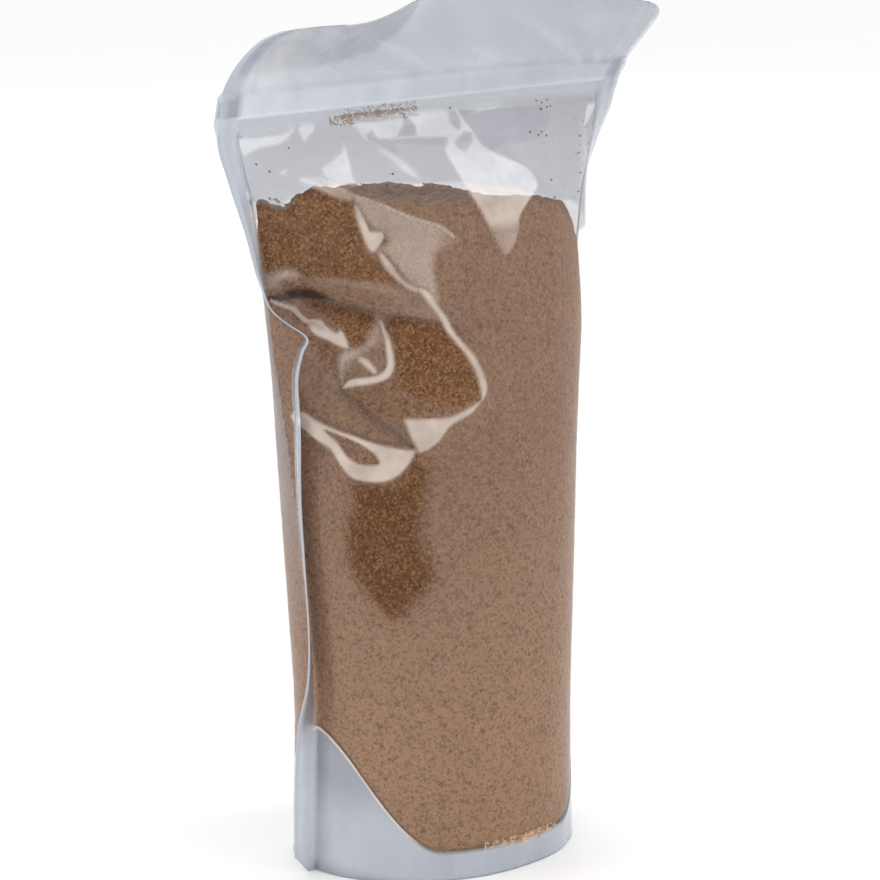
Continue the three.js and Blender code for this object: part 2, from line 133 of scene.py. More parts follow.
# Painted highlights: pale patches painted where slack film would catch the light, as outlines
# with the strength of the painted glare and how far it fades in from its edge
NECK_KITE = [(76, 236.5), (78, 238.5), (78, 238.5), (79, 233), (79.5, 228.5), (80, 224), (85, 220),
             (91, 216), (93, 212), (92, 209.5), (88, 206), (85, 203), (83.5, 199), (80.5, 194.5),
             (78, 193), (75, 200), (73, 207), (71, 213.5), (70, 220), (70, 224), (72.5, 227.5)]
SHOULDER = [(42, 214), (47, 212), (55, 206.5), (62, 203), (66, 198), (66, 198), (60, 196), (58.5, 192.5),
            (58, 186), (58, 181.5), (58, 181.5), (55, 185), (51, 187.5), (47, 196), (44.5, 198),
            (48, 199.5), (47, 202), (44, 206)]
PAINTED_GLARES = [
    (0.38, 0.5, NECK_KITE),
    (0.20, 1.3, SHOULDER),
    (0.06, 1.2, [(12, 188.5), (25, 189), (38, 188.5), (50, 185), (60, 176), (60, 174.5), (48, 178.5),
                 (36, 182), (26, 185), (18, 187)]),
    (0.40, 0.5, [(42, 213), (42, 213), (43, 206), (43.5, 203.5), (46.5, 203), (47, 201.5), (44.5, 198.5),
                 (42.5, 197.5), (41.5, 201), (41, 208)]),
    (0.40, 0.5, [(44.5, 197.5), (47, 194), (49.5, 188.5), (54, 185), (54, 185), (51, 185.5), (46, 191.5)]),
    (0.40, 0.5, [(0.5, 232.5), (5, 233), (18, 232.5), (31, 233), (36, 235), (36, 235), (32, 231.5),
                 (27, 230), (18.5, 229.5), (8.5, 227), (8.5, 227), (2, 230)]),
    (0.36, 0.5, [(36.5, 235), (38.5, 235), (43.5, 238), (43.5, 238), (41, 233.5), (38, 231), (36.2, 230),
                 (36.2, 230)]),
    (0.39, 0.5, [(50, 237), (50, 237), (55, 235.5), (60, 235), (65.5, 237.5), (65.5, 237.5), (65, 233),
                 (61, 228.5), (61, 228.5), (56, 229), (56, 231), (53, 230), (53, 233)]),
    (0.39, 0.5, [(66.5, 234.5), (70, 235), (76, 237.5), (76, 237.5), (75.5, 231), (76, 228), (70, 228),
                 (66, 228.5), (67, 231)]),
    (0.37, 0.5, [(47, 229), (45.5, 227), (40, 224), (37, 222.5), (37, 220), (39, 218), (44.5, 217),
                 (44.5, 217), (44.5, 221)]),
    (0.27, 0.7, [(54, 226.5), (54, 226.5), (57, 225), (60, 220), (61, 216.5), (61, 216.5), (58, 219),
                 (56, 222.5)]),
    (0.22, 0.4, [(23, 222), (27.5, 223.5), (27.5, 223.5), (24.5, 221)]),
    (0.28, 0.8, [(29, 219.5), (33, 220), (38.5, 217), (42, 213.5), (42, 213.5), (39.5, 213),
                 (33.5, 216.5)]),
    (0.26, 1.5, [(0.5, 190), (8.5, 191), (13.5, 192), (18, 190), (11, 188.5), (5, 186), (0.5, 186)]),
    (0.42, 0.6, [(20, 175.5), (24, 175.3), (28.5, 172.5), (30.5, 173), (32, 170.5), (32.2, 167.5),
                 (32.2, 167.5), (27, 169.5), (21.5, 172.5)]),
    (0.26, 2.2, [(43.5, 176), (43.5, 176), (41, 169.5), (35, 165.5), (31, 163), (27.5, 156.5),
                 (27.5, 156.5), (29, 165.5), (36, 167.3), (40, 171)]),
    (0.40, 0.6, [(34.5, 164.7), (37.5, 164.3), (39.7, 161), (39.2, 159.5), (37, 161.7)]),
    (0.46, 0.5, [(43.5, 176), (45.2, 170), (45.6, 163.5), (44.5, 159.8), (41, 157.3), (33, 156), (27, 155),
                 (27, 155), (31, 158), (39, 158.8), (43, 161.5), (43.8, 168)]),
    (0.45, 0.6, [(7.5, 147.5), (13, 148), (19, 145.5), (28, 142), (36.5, 139), (42, 137.5), (46.2, 137.5),
                 (46.2, 137.5), (44.5, 134), (40, 129.5), (35, 127.8), (27, 128.5), (24, 132), (21.5, 137),
                 (17, 140), (6.5, 145)]),
    (0.40, 0.6, [(45, 146), (45, 146), (52, 146), (58, 146.5), (66.5, 150.5), (66.5, 150.5), (63, 147),
                 (57, 144), (53, 139.5), (50.5, 137.5), (47, 136.5), (47, 136.5), (46, 140.5)]),
    (0.44, 0.5, [(53, 185.5), (55.5, 184.5), (58.5, 179), (61, 175), (63, 170), (66.3, 163.5), (68.3, 157),
                 (68.4, 153), (66.5, 150), (66.5, 150), (66.8, 153), (66.3, 158), (64, 164.5), (61, 170.7),
                 (59.6, 174.5), (56.5, 179.5)]),
    (0.3, 0.6, [(125, 225), (128, 231), (128, 231), (143.5, 231), (143.5, 231), (136, 229.5), (129, 226)]),
    (0.07, 1.5, [(124, 229), (122.5, 222), (127, 214), (129, 216), (126, 223)]),
]
# Patches inside the painted glare that stay clear
CLEAR_IN_GLARE = [
    [(20, 143.3), (24.5, 142), (29.5, 140), (34, 136.5), (35.5, 133), (30, 132.8), (26, 135), (23.5, 139)],
    [(73, 225.5), (77, 228.3), (79, 227.5), (76.5, 225), (74, 223.5)],
    [(76, 233), (77.5, 236), (78.2, 232.5), (76.5, 229), (75.5, 230.5)],
]
# Painted highlights: bright lines painted on folds, with their strength and half width
PAINTED_GLEAMS = [
    (0.22, 0.22, [(43.5, 238), (50, 237)]), (0.30, 0.22, [(50, 237), (52.5, 233.5), (53.5, 229)]),
    (0.30, 0.18, [(61, 228.6), (67, 228.2), (76, 227.8)]), (0.18, 0.2, [(82, 233), (92, 234)]),
    (0.36, 0.25, [(2, 182), (11, 179.5), (18.5, 176), (24, 175.5)]),
    (0.25, 0.25, [(34.5, 220), (38.5, 217.5), (43, 213.5)]),
    (0.22, 0.2, [(1, 232), (2.5, 229.5), (8.5, 227)]),
    (0.3, 0.2, [(43, 213.8), (47, 212), (55, 206.5), (62, 203), (65, 199.5)]),
]
# Painted shade: dark lines painted where film folds under itself, with their strength and half width
PAINTED_SHADES = [
    (0.7, 0.4, [(1, 182.5), (12, 183), (18, 182.7)]), (0.35, 0.35, [(18, 182.7), (25, 181), (37.5, 179.2)]),
    (0.25, 0.3, [(37.5, 179.2), (43.5, 177.3), (50, 176.2), (60, 173.5)]),
    (0.3, 0.35, [(26.5, 154.5), (34, 149), (42.5, 141), (46, 137.8)]),
    (0.35, 0.2, [(46, 138.5), (36, 140), (19, 146.8)]),
    (0.4, 0.2, [(41.8, 212.5), (43.7, 206), (47.5, 203), (47.7, 201.3), (45, 198.3)]),
    (0.35, 0.2, [(45.5, 197.5), (50.5, 188.5), (55.5, 184.8)]), (0.3, 0.2, [(34.5, 218.7), (41.7, 213)]),
]
# Broad painted shadows beside folds, with their strength and how far they fade. The last one
# instead darkens the damp patch of sugar low on the front
SHADOWS = [
    (0.62, 0.8, [(1, 182.5), (1, 182.5), (10, 185), (19, 185.5), (25.5, 183.5), (31, 181.5), (31, 181.5),
                 (18, 182)]),
    (0.18, 2.0, [(12, 182), (31, 180.3), (44, 177.2), (60, 173.8), (60, 173.8), (44, 174.5), (30, 177.5)]),
    (0.2, 1.5, [(26.5, 154.5), (34, 149), (46, 138), (46, 138), (32, 147)]),
    (0.12, 6.0, [(26, 126.5), (39.5, 127.5), (49.5, 130), (47, 115), (46, 96), (33.5, 83.5), (22, 97.5),
                 (20.5, 110)]),
]

# Where the sugar lies damp against the film and looks darker, with how much and how soft
DARK_PATCHES = [
    (0.85, 1.5, [(-8, 213), (10, 213), (18, 210.5), (25.5, 214.5), (31, 217), (38, 216.5), (42, 212),
                 (41, 208), (41.5, 199), (46, 192), (49, 187.5), (38, 188.5), (30, 189.5), (15, 188.5),
                 (0, 184.5), (-8, 186)]),
    (0.95, 1.2, [(14.5, 182), (31, 180), (43.5, 176.8), (40.5, 172), (37, 167.5), (33, 168), (31.5, 172),
                (26, 177), (20, 179)]),
    (0.95, 2.0, [(45, 176), (58, 174), (63.3, 171.5), (66, 163.5), (67.5, 156), (66.5, 151), (59, 148.5),
                 (51, 151), (46, 155), (46, 164)]),
    (0.6, 1.5, [(19.5, 173), (26.5, 169), (31, 166.5), (28.5, 163), (26.5, 155.5), (24, 161), (19.5, 167)]),
    (0.9, 0.6, [(20, 143.3), (24.5, 142), (29.5, 140), (34, 136.5), (35.5, 133), (30, 132.8), (26, 135),
                (23.5, 139)]),
    (0.45, 2.0, [(28.5, 154), (44, 157), (47.5, 153.5), (58, 148), (46, 146), (39.5, 146)]),
    (1.0, 4.0, [(26, 126.5), (39.5, 127.5), (45, 135.5), (49.5, 133), (47, 121.5), (44.5, 109), (48, 103),
                (45, 94), (39, 89), (33.5, 83.5), (28, 88.5), (22, 97.5), (20.5, 108.5), (24, 118)]),
]

# Single specks stuck inside the neck
SPECKS = [(2, 233), (31, 228.7), (13.7, 224.7), (19.3, 222.3), (55, 219), (78, 235), (107.3, 234),
          (105, 233.3), (103.3, 234), (106.5, 231.8), (104, 231.5), (108, 232), (100.7, 225.3), (99, 224.5),
          (102, 224), (96.7, 225.7), (100, 211.3), (100.3, 206), (120.5, 222), (118.5, 217), (119.5, 211),
          (116.5, 205.7)]

# The sugar's level round the film, by millimetres from the left end
LEVEL_FRONT = [(0, 212), (4, 213.5), (7, 212.8), (14, 212), (17, 210), (19.5, 209.5), (23.5, 213),
               (28, 215.5), (34, 217.5), (40, 215.5), (50, 211), (66, 209), (78, 208.5), (92, 206.5),
               (104, 205), (111, 203), (116, 200), (122, 196), (132, 192), (PANEL, 191)]
# The same where the back of the heap shows above the front, as seen through the front film
LEVEL_SEEN = [(0, 212), (4, 213.5), (14, 212), (19.5, 210), (23.5, 213), (28, 215.5), (34, 218), (38, 219),
              (41.5, 217.5), (55, 216), (71.5, 215), (76.5, 213), (86, 211.5), (89.5, 209), (101.5, 205),
              (107, 204.5), (113, 202.5), (117, 199.5), (122, 196), (PANEL, 191)]
LEVEL_BACK = [(0, 209), (20, 206), (36, 207), (46, 210.5), (60, 211), (75, 209.5), (90, 206),
              (104, 202.5), (113, 198.5), (122, 193), (132, 190), (PANEL, 190)]

# How milky each part of the film is, from 0 to 1
MILK = {"on sugar": 0.02, "neck": 0.035, "skirt": 0.6, "inside": 0.12, "seal": 0.32, "foot of seal": 0.63,
        "edge": 0.75, "foot of band": 0.1, "band": 0.6, "foot of header": 0.3, "header": 0.18}

# The softboxes: name, azimuth and elevation in degrees with azimuth 0 in front of the pouch, then
# distance, width and height in metres, radiance, and whether gloss shows it
SOFTBOXES = [
    ("key softbox", 57, 42, 1.6, 0.7, 0.6, 4.0, False),
    ("front softbox", 13, 22, 1.9, 0.5, 0.5, 2.0, False),
    ("left softbox", -115, 35, 1.8, 0.9, 0.9, 2.0, True),
    ("back softbox", 150, 30, 1.8, 0.9, 0.9, 2.0, True),
]
# The height that they face, the floor's radius and how far it lies under the pouch, in metres
HEIGHT_LIT = 0.13
FLOOR_RADIUS, FLOOR_DROP = 9.0, 0.0002


class PouchFilmSettings(bpy.types.PropertyGroup):
    """The clear film."""
    columns: IntProperty(name="Columns", description="Faces across the front, three to one of the back",
                         default=240, min=60, max=240, step=3)
    crowding: FloatProperty(name="Crowding", description="How much finer the left side is than the right",
                            default=0.3, min=0, max=0.9)
    clear: StringProperty(name="Clear film", description="Light that one layer lets through",
                          default="#D4D5D9")
    wetted: StringProperty(name="Film on sugar", description="The same where grains touch it",
                           default="#F3F2F1")
    # Colour painted for shade under folds; it also darkens the right of the neck and the damp patch low on
    # the front
    shadow: StringProperty(name="Fold shadow", description="The same where film folds under itself",
                           default="#614531")
    haze: StringProperty(name="Haze", description="Colour of welded and wrinkled film", default="#C2C9D5")
    # Colours of the painted highlights, cool on clear film and warm with sugar behind
    glare: StringProperty(name="Glare", description="Colour of slack film in the light", default="#F6F8FC")
    painted_warm_glare: StringProperty(name="Glare on sugar", description="The same with sugar behind",
                               default="#FFEFE2")
    roughness: FloatProperty(name="Roughness", description="Roughness of its gloss", default=0.12, min=0,
                             max=1)


class PouchSugarSettings(bpy.types.PropertyGroup):
    """The brown sugar."""
    grain: FloatProperty(name="Grain", description="Size of a grain", default=0.7 * MM, unit="LENGTH")
    gap: FloatProperty(name="Gap", description="Space to the film", default=0.5 * MM, unit="LENGTH")
    pale: StringProperty(name="Pale sugar", description="Dry sugar behind the film", default="#8A674D")
    dark: StringProperty(name="Dark sugar", description="Damp sugar", default="#774C29")
    low: StringProperty(name="Low sugar", description="Pressed dry sugar near the base", default="#A37C5C")
    speck: StringProperty(name="Specks", description="Dark molasses specks", default="#5A3C28")
    golden: StringProperty(name="Golden grains", description="Bright crystals", default="#BC8E5E")
    loose_grains: IntProperty(name="Loose grains", description="Grains on top of the heap", default=900)
    clumps: IntProperty(name="Clumps", description="Clumps on top of the heap", default=24)
    loose: StringProperty(name="Loose sugar", description="Loose grains and clumps", default="#9C7656")
    zip_crumb: StringProperty(name="Crumbs in zip", description="Sugar caught under the zip",
                              default="#C49B6E")
    neck_speck: StringProperty(name="Specks in neck", description="Specks stuck inside the neck",
                               default="#6E4F35")
    base_crumb: StringProperty(name="Crumbs at base", description="Sugar caught along the weld",
                               default="#C3A27A")


class PouchZipSettings(bpy.types.PropertyGroup):
    """The press-to-close strip."""
    height: FloatProperty(name="Height", description="Height of the strip", default=5.6 * MM, unit="LENGTH")
    thickness: FloatProperty(name="Thickness", description="Web thickness", default=0.7 * MM, unit="LENGTH")
    rib: FloatProperty(name="Rib", description="How far a rib stands out", default=0.35 * MM, unit="LENGTH")
    colour: StringProperty(name="Plastic", description="Milky plastic", default="#D3D7DE")


class PouchStageSettings(bpy.types.PropertyGroup):
    """Floor, lights and camera."""
    floor: StringProperty(name="Floor", description="Pale floor", default="#FAFAFA")
    sky: FloatProperty(name="Surround", description="Brightness all round", default=1.0, min=0)
    azimuth: FloatProperty(name="Azimuth", description="Camera angle", default=math.radians(-39),
                           subtype="ANGLE")
    elevation: FloatProperty(name="Elevation", description="Camera height", default=math.radians(12.2),
                             subtype="ANGLE")
    roll: FloatProperty(name="Roll", description="Camera roll", default=math.radians(-0.6), subtype="ANGLE")
    distance: FloatProperty(name="Distance", description="Camera distance", default=1.1546, unit="LENGTH")
    lens: FloatProperty(name="Lens", description="Focal length", default=149.8, unit="CAMERA")
    target: FloatVectorProperty(name="Target", description="Where the camera looks",
                                default=(4.9 * MM, 1.0 * MM, 130.1 * MM), subtype="TRANSLATION")


# Geometry of the film

def through(table, column, height):
    """A smooth curve through one column of a table that is sorted by height."""
    rows = np.array([row[0] for row in table], float)
    values = np.array([row[column] for row in table], float)
    step = np.diff(values) / np.diff(rows)
    slope = np.zeros(len(rows))
    slope[1:-1] = (step[1:] + step[:-1]) / 2
    height = np.clip(height, rows[0], rows[-1])
    i = np.clip(np.searchsorted(rows, height, side="right") - 1, 0, len(rows) - 2)
    span = rows[i + 1] - rows[i]
    u = (height - rows[i]) / span
    v = 1 - u
    return (v * v * (1 + 2 * u) * values[i] + u * v * v * span * slope[i]
            + u * u * (1 + 2 * v) * values[i + 1] - u * u * v * span * slope[i + 1])


def half_widths():
    """The half width of the section at each millimetre of height, for its length of film."""
    heights = np.arange(0, ZIP_BASE + 1)
    bulge = through(STATIONS, FRONT, heights)[:, None]
    point = through(STATIONS, POINT, heights)[:, None]
    film = PANEL - through(STATIONS, GATHER, heights)
    angle = np.pi * np.arange(61)[None] / 60
    climb = np.diff(bulge * np.sin(angle).clip(0) ** point, axis=1)
    low, high = np.full(len(heights), 20.0), film / 2
    for _ in range(40):
        half = (low + high) / 2
        too_long = np.hypot(-half[:, None] * np.diff(np.cos(angle), axis=1), climb).sum(1) > film
        high = np.where(too_long, half, high)
        low = np.where(too_long, low, half)
    return heights, low


HALF_WIDTHS = half_widths()


def body_places(q, z, out=0.0):
    """Points of the smooth body. q is film round from the left end, negative along the back."""
    q, z, out = np.broadcast_arrays(np.asarray(q, float), np.asarray(z, float), np.asarray(out, float))
    half = np.interp(z, *HALF_WIDTHS)
    bulge = np.where(q < 0, through(STATIONS, BACK, z), -through(STATIONS, FRONT, z))
    angle = np.pi * np.abs(q) / PANEL
    x = -half * np.cos(angle)
    y = bulge * np.sin(angle).clip(0) ** through(STATIONS, POINT, z)
    across, along = x / half ** 2, y / bulge ** 2
    length = np.hypot(across, along)
    x, y = x + out * across / length, y + out * along / length
    turn = np.radians(through(STATIONS, TURN, z))
    turned = np.cos(turn) * x - np.sin(turn) * y, np.sin(turn) * x + np.cos(turn) * y + BEHIND
    return np.stack([*turned, z], -1)


def distance_to(line, q, z, closed=False):
    """Distance from places on the film to a line of places."""
    points = list(line) + ([line[0]] if closed else [])
    nearest = np.full(np.shape(q), np.inf)
    for (q0, z0), (q1, z1) in zip(points, points[1:]):
        length = max((q1 - q0) ** 2 + (z1 - z0) ** 2, 1e-9)
        along = (((q - q0) * (q1 - q0) + (z - z0) * (z1 - z0)) / length).clip(0, 1)
        nearest = np.minimum(nearest, np.hypot(q - q0 - along * (q1 - q0), z - z0 - along * (z1 - z0)))
    return nearest


def smooth_outline(points, steps=5):
    """A closed smooth curve through an outline's points, sharp where a point is given twice."""
    curve = []
    count = len(points)
    for i in range(count):
        before, start, end, after = (np.array(points[(i + k) % count], float) for k in (-1, 0, 1, 2))
        if np.array_equal(start, end):
            continue
        for u in np.arange(steps) / steps:
            bend = 2 * before - 5 * start + 4 * end - after
            twist = 3 * start - before - 3 * end + after
            curve.append(0.5 * (2 * start + (end - before) * u + bend * u ** 2 + twist * u ** 3))
    return curve


def depth_in(outline, q, z, margin=8.0):
    """How deep places lie inside an outline. Outside it is negative, down to the margin."""
    q, z = np.broadcast_arrays(np.asarray(q, float), np.asarray(z, float))
    low, high = np.min(outline, axis=0) - margin, np.max(outline, axis=0) + margin
    near = (q > low[0]) & (q < high[0]) & (z > low[1]) & (z < high[1])
    near_q, near_z = q[near], z[near]
    inside = np.zeros(near_q.shape, bool)
    for (q0, z0), (q1, z1) in zip(outline, list(outline[1:]) + [outline[0]]):
        if z0 != z1:
            crosses = (z0 > near_z) != (z1 > near_z)
            inside ^= crosses & (near_q < q0 + (q1 - q0) * (near_z - z0) / (z1 - z0))
    away = distance_to(outline, near_q, near_z, closed=True)
    depth = np.full(q.shape, -margin)
    depth[near] = np.maximum(np.where(inside, away, -away), -margin)
    return depth


def ease(value):
    value = np.clip(value, 0, 1)
    return value * value * (3 - 2 * value)


def rise(value, start, full):
    """0 at the start, 1 where it is full, and smooth between. Full may lie below the start."""
    return ease((value - start) / (full - start))


def fold_lift(q, z, sugar=False):
    """How far the front film stands off the smooth body. Of the raised folds the sugar follows only
    part of the buckle."""
    lift = -DENT_DEPTH * ease(depth_in(DENT, q, z) / DENT_REACH)
    buckle = BUCKLE_LIFT * (depth_in(BUCKLE, q, z) / BUCKLE_REACH).clip(0, 1)
    lift = lift + (SUGAR_IN_BUCKLE if sugar else 1.0) * buckle
    for line, height, reach in CREASES:
        if height < 0 or not sugar:
            lift = lift + height * (1 - distance_to(line, q, z) / reach).clip(0)
    from_seal = np.minimum(q - through(SEALS, WANDER, z).clip(0), PANEL - q)
    return lift * from_seal.clip(0, SEAL) / SEAL


def corner_cut(from_end, radius):
    inside = np.clip(radius - from_end, 0, radius)
    return radius - np.sqrt(radius ** 2 - inside ** 2)


def weld_height(share):
    return WELD_AT_MIDDLE + (WELD_AT_SIDE - WELD_AT_MIDDLE) * ease(
        (np.abs(2 * share - 1) - WELD_LEVEL) / (1 - WELD_LEVEL))


class Columns:
    """The columns of the film's skin: front, right seal, back and left seal, back to the first.
    The back has a third of the front's columns, at the same shares of the width."""
    SEAL_STEPS = 3
    FRONT_TO_BACK = 3

    def __init__(self, count, crowding):
        u = np.arange(count + 1) / count
        shares = u * (1 - crowding) + crowding * u * u
        behind = shares[::-self.FRONT_TO_BACK][1:]
        fin = np.arange(1, self.SEAL_STEPS + 1) / self.SEAL_STEPS
        there_and_back = np.concatenate([fin, fin[::-1], [0]])
        face = np.concatenate([np.ones(len(fin)), -np.ones(len(fin) + 1)])
        self.share = np.concatenate([shares, np.ones(len(face)), behind, np.zeros(len(face))])
        self.side = np.concatenate([np.ones(count + 1), face, -np.ones(len(behind)), -face])
        self.fin = np.concatenate([np.zeros(count + 1), there_and_back,
                                   np.zeros(len(behind)), there_and_back])
        self.root = (self.share == 0) | (self.share == 1)
        self.film = np.where(self.side > 0, 1.0, -1.0) * self.share * PANEL


def seal_direction(column, z):
    """Which way a side seal points, and the sideways step to its front face."""
    turn = through(STATIONS, TURN, z)
    if column == LEFT_SEAL:
        angle = math.radians(180 + through(SEALS, column, z) + turn)
    else:
        angle = math.radians(turn - through(SEALS, column, z))
    outward = np.array([math.cos(angle), math.sin(angle), 0])
    across = np.array([-outward[1], outward[0], 0]) * SEAL_FILM / 2
    return outward, across if across[1] < 0 or (across[1] == 0 and across[0] > 0) else -across


def body_ring(columns, z):
    """A ring round the filled body. z may differ from column to column."""
    z = np.broadcast_to(np.asarray(z, float), columns.share.shape)
    wander = through(SEALS, WANDER, z).clip(0)
    q = np.where(columns.side > 0, wander + columns.share * (PANEL - wander),
                 wander - columns.share * (PANEL + wander))
    ring = body_places(q, z, np.where(columns.side > 0, fold_lift(np.abs(q), z), 0) + ripple(q, z))
    for column, share in ((LEFT_SEAL, 0), (RIGHT_SEAL, 1)):
        here = columns.root & (columns.share == share)
        height = z[here][0]
        q_root = wander[here][0] if share == 0 else PANEL
        outward, front = seal_direction(column, height)
        reach = (SEAL - corner_cut(height, CORNER["foot"])) * columns.fin[here, None]
        ring[here] = body_places(q_root, height) + outward * reach + front * columns.side[here, None]
    return ring, q, z


def ripple(q, z):
    """Small slack of the film, in waves 17 mm across and 24 mm tall, most of it near the neck and
    the skirt."""
    q, z = np.broadcast_arrays(q, z)
    waves = [noise.noise(Vector((a / 17, b / 24, 3.0))) for a, b in zip(q.ravel(), z.ravel())]
    amount = 0.25 + 0.7 * rise(z, 205, 220) * rise(z, ZIP_BASE, ZIP_BASE - 8) + 0.35 * rise(z, 14, 0)
    edge = np.minimum(np.abs(q), PANEL - np.abs(q)).clip(0, 12) / 12
    return np.reshape(waves, q.shape) * amount * edge


def sheet_places(x, s, offset):
    """Points of the sheet above the neck. s runs up along the film from the zip band's foot."""
    left = x < 0
    corner_tilt = np.where(left, HEADER_TILT["left"], HEADER_TILT["right"])
    full_at = np.where(left, FULL_TILT_AT["left"], FULL_TILT_AT["right"])
    top_tilt = HEADER_TILT["middle"] + (corner_tilt - HEADER_TILT["middle"]) * ease(np.abs(x) / full_at)
    foot_tilt = ZIP_TILT + FLARE * rise(x, FLARE_FROM, PANEL / 2 + SEAL)
    band, rest = min(s, ZIP_BAND), max(s - ZIP_BAND, 0)
    bend = rest / HEADER
    band_tilt = ZIP_TILT + (foot_tilt - ZIP_TILT) * band / ZIP_BAND
    tilt = np.radians(np.where(bend > 0, foot_tilt + (top_tilt - foot_tilt) * bend, band_tilt))
    mean = np.radians(foot_tilt + (top_tilt - foot_tilt) * bend / 2)
    lean = np.radians((ZIP_TILT + band_tilt) / 2)
    narrowing = np.where(left, HEADER_NARROWING["left"], HEADER_NARROWING["right"])
    # The header waves a little, more towards its top
    offset = offset + 0.5 * bend * np.sin(x / 11.0 + s / 9.0)
    across = x * (1 - narrowing * bend)
    forward = -band * np.sin(lean) - rest * np.sin(mean) - offset * np.cos(tilt)
    up = ZIP_BASE + band * np.cos(lean) + rest * np.cos(mean) - offset * np.sin(tilt)
    turn = math.radians(ZIP_TURN)
    return np.stack([math.cos(turn) * across - math.sin(turn) * forward,
                     math.sin(turn) * across + math.cos(turn) * forward + BEHIND, up], -1)


def sheet_ring(columns, s, thickness):
    root = PANEL / 2
    x = -root * np.cos(np.pi * columns.share)
    for share, radius in ((0, CORNER["left"]), (1, CORNER["right"])):
        here = columns.root & (columns.share == share)
        edge = root + SEAL - corner_cut(ZIP_BAND + HEADER - s, radius)
        x[here] = np.sign(share - 0.5) * (root + (edge - root) * columns.fin[here])
    return sheet_places(x, s, columns.side * thickness / 2), columns.film, np.full(len(x), ZIP_BASE + s)


def inner_ring(columns, up_skirt, inward):
    """A ring inside the skirt, or of the bowl under the sugar. The seals shrink to its ends."""
    height = weld_height(columns.share) * up_skirt
    wall = body_places(columns.film, height, -SKIRT_FILM)
    radius = 1 + (FLAT_SHARE - 1) * inward if inward <= 1 else 0
    z = height * max(1 - inward, 0) ** BOWL_CURVE
    ring = np.stack([wall[:, 0] * radius, (wall[:, 1] - BEHIND) * radius + BEHIND, z], -1)
    return ring, columns.film, z


# Mesh work

def deselect_all():
    bpy.ops.object.select_all(action="DESELECT")


def select_only(piece):
    deselect_all()
    piece.select_set(True)
    bpy.context.view_layer.objects.active = piece


def sewn_grid(name, rings):
    """A plane grid laid over rings of points in millimetres and sewn up where its edges meet."""
    rows, columns = rings.shape[:2]
    deselect_all()
    bpy.ops.mesh.primitive_grid_add(x_subdivisions=columns - 1, y_subdivisions=rows - 1, size=1)
    piece = bpy.context.object
    piece.name = piece.data.name = name
    corners = np.empty(rows * columns * 3, np.float32)
    piece.data.vertices.foreach_get("co", corners)
    corners = corners.reshape(-1, 3)
    order = np.lexsort((corners[:, 0].round(5), corners[:, 1].round(5)))
    places = np.empty((rows * columns, 3), np.float32)
    places[order] = rings.reshape(-1, 3) * MM
    piece.data.vertices.foreach_set("co", places.ravel())
    return piece, order


def keep_values(piece, order, **values):
    for key, value in values.items():
        laid = np.empty(len(order), np.float32)
        laid[order] = np.asarray(value, np.float32).ravel()
        piece.data.attributes.new(key, "FLOAT", "POINT").data.foreach_set("value", laid)


def sew_up(piece, gap):
    """Merges the corners that meet, closes what stays open beside them, and turns faces outwards."""
    select_only(piece)
    bpy.ops.object.mode_set(mode="EDIT")
    bpy.ops.mesh.select_all(action="SELECT")
    bpy.ops.mesh.remove_doubles(threshold=gap)
    bpy.ops.mesh.fill_holes(sides=5)
    bpy.ops.mesh.select_all(action="SELECT")
    bpy.ops.mesh.normals_make_consistent(inside=False)
    bpy.ops.object.mode_set(mode="OBJECT")
    bpy.ops.object.shade_smooth()


def finish_piece(piece, material, slot, *nodes):
    piece.data.materials.clear()
    piece.data.materials.append(material)
    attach(piece, "root")
    if nodes:
        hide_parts(*nodes)
    return piece


# Materials

def scaled(colour, factor):
    """The same linear colour, darker or lighter."""
    return [min(c * factor, 1) for c in colour[:3]] + [1]


def linear(colour):
    """An sRGB hex colour as linear light, with full alpha."""
    parts = [int(colour[i:i + 2], 16) / 255 for i in (1, 3, 5)]
    return [c / 12.92 if c <= 0.04045 else ((c + 0.055) / 1.055) ** 2.4 for c in parts] + [1.0]


def new_material(name):
    material = bpy.data.materials.new(name)
    material.use_nodes = True
    material.node_tree.nodes.clear()
    return material


def node(tree, kind, links=None, **settings):
    """Adds a node, sets its properties and sockets by name or number, and links its inputs."""
    made = tree.nodes.new(kind)
    for key, value in settings.items():
        if key.startswith("in_"):
            made.inputs[socket(made, key[3:])].default_value = value
        else:
            setattr(made, key, value)
    for key, source in (links or {}).items():
        tree.links.new(source, made.inputs[key])
    return made


def socket(made, key):
    return int(key) if key.isdigit() else key.replace("_", " ")


def ramp_between(tree, source, low, high):
    """0 below low, 1 above high."""
    return node(tree, "ShaderNodeMapRange", {0: source}, in_1=low, in_2=high, clamp=True).outputs[0]


def blend(tree, factor, a, b):
    """Mixes two colours. A colour may be a socket or a linear value."""
    made = node(tree, "ShaderNodeMix", data_type="RGBA", clamp_factor=True)
    for key, value in ((0, factor), (6, a), (7, b)):
        if isinstance(value, bpy.types.NodeSocket):
            tree.links.new(value, made.inputs[key])
        else:
            made.inputs[key].default_value = value
    return made.outputs[2]


def math_node(tree, operation, a, b=0.0, c=0.0):
    made = node(tree, "ShaderNodeMath", operation=operation)
    for key, value in ((0, a), (1, b), (2, c)):
        if isinstance(value, bpy.types.NodeSocket):
            tree.links.new(value, made.inputs[key])
        else:
            made.inputs[key].default_value = value
    return made.outputs[0]


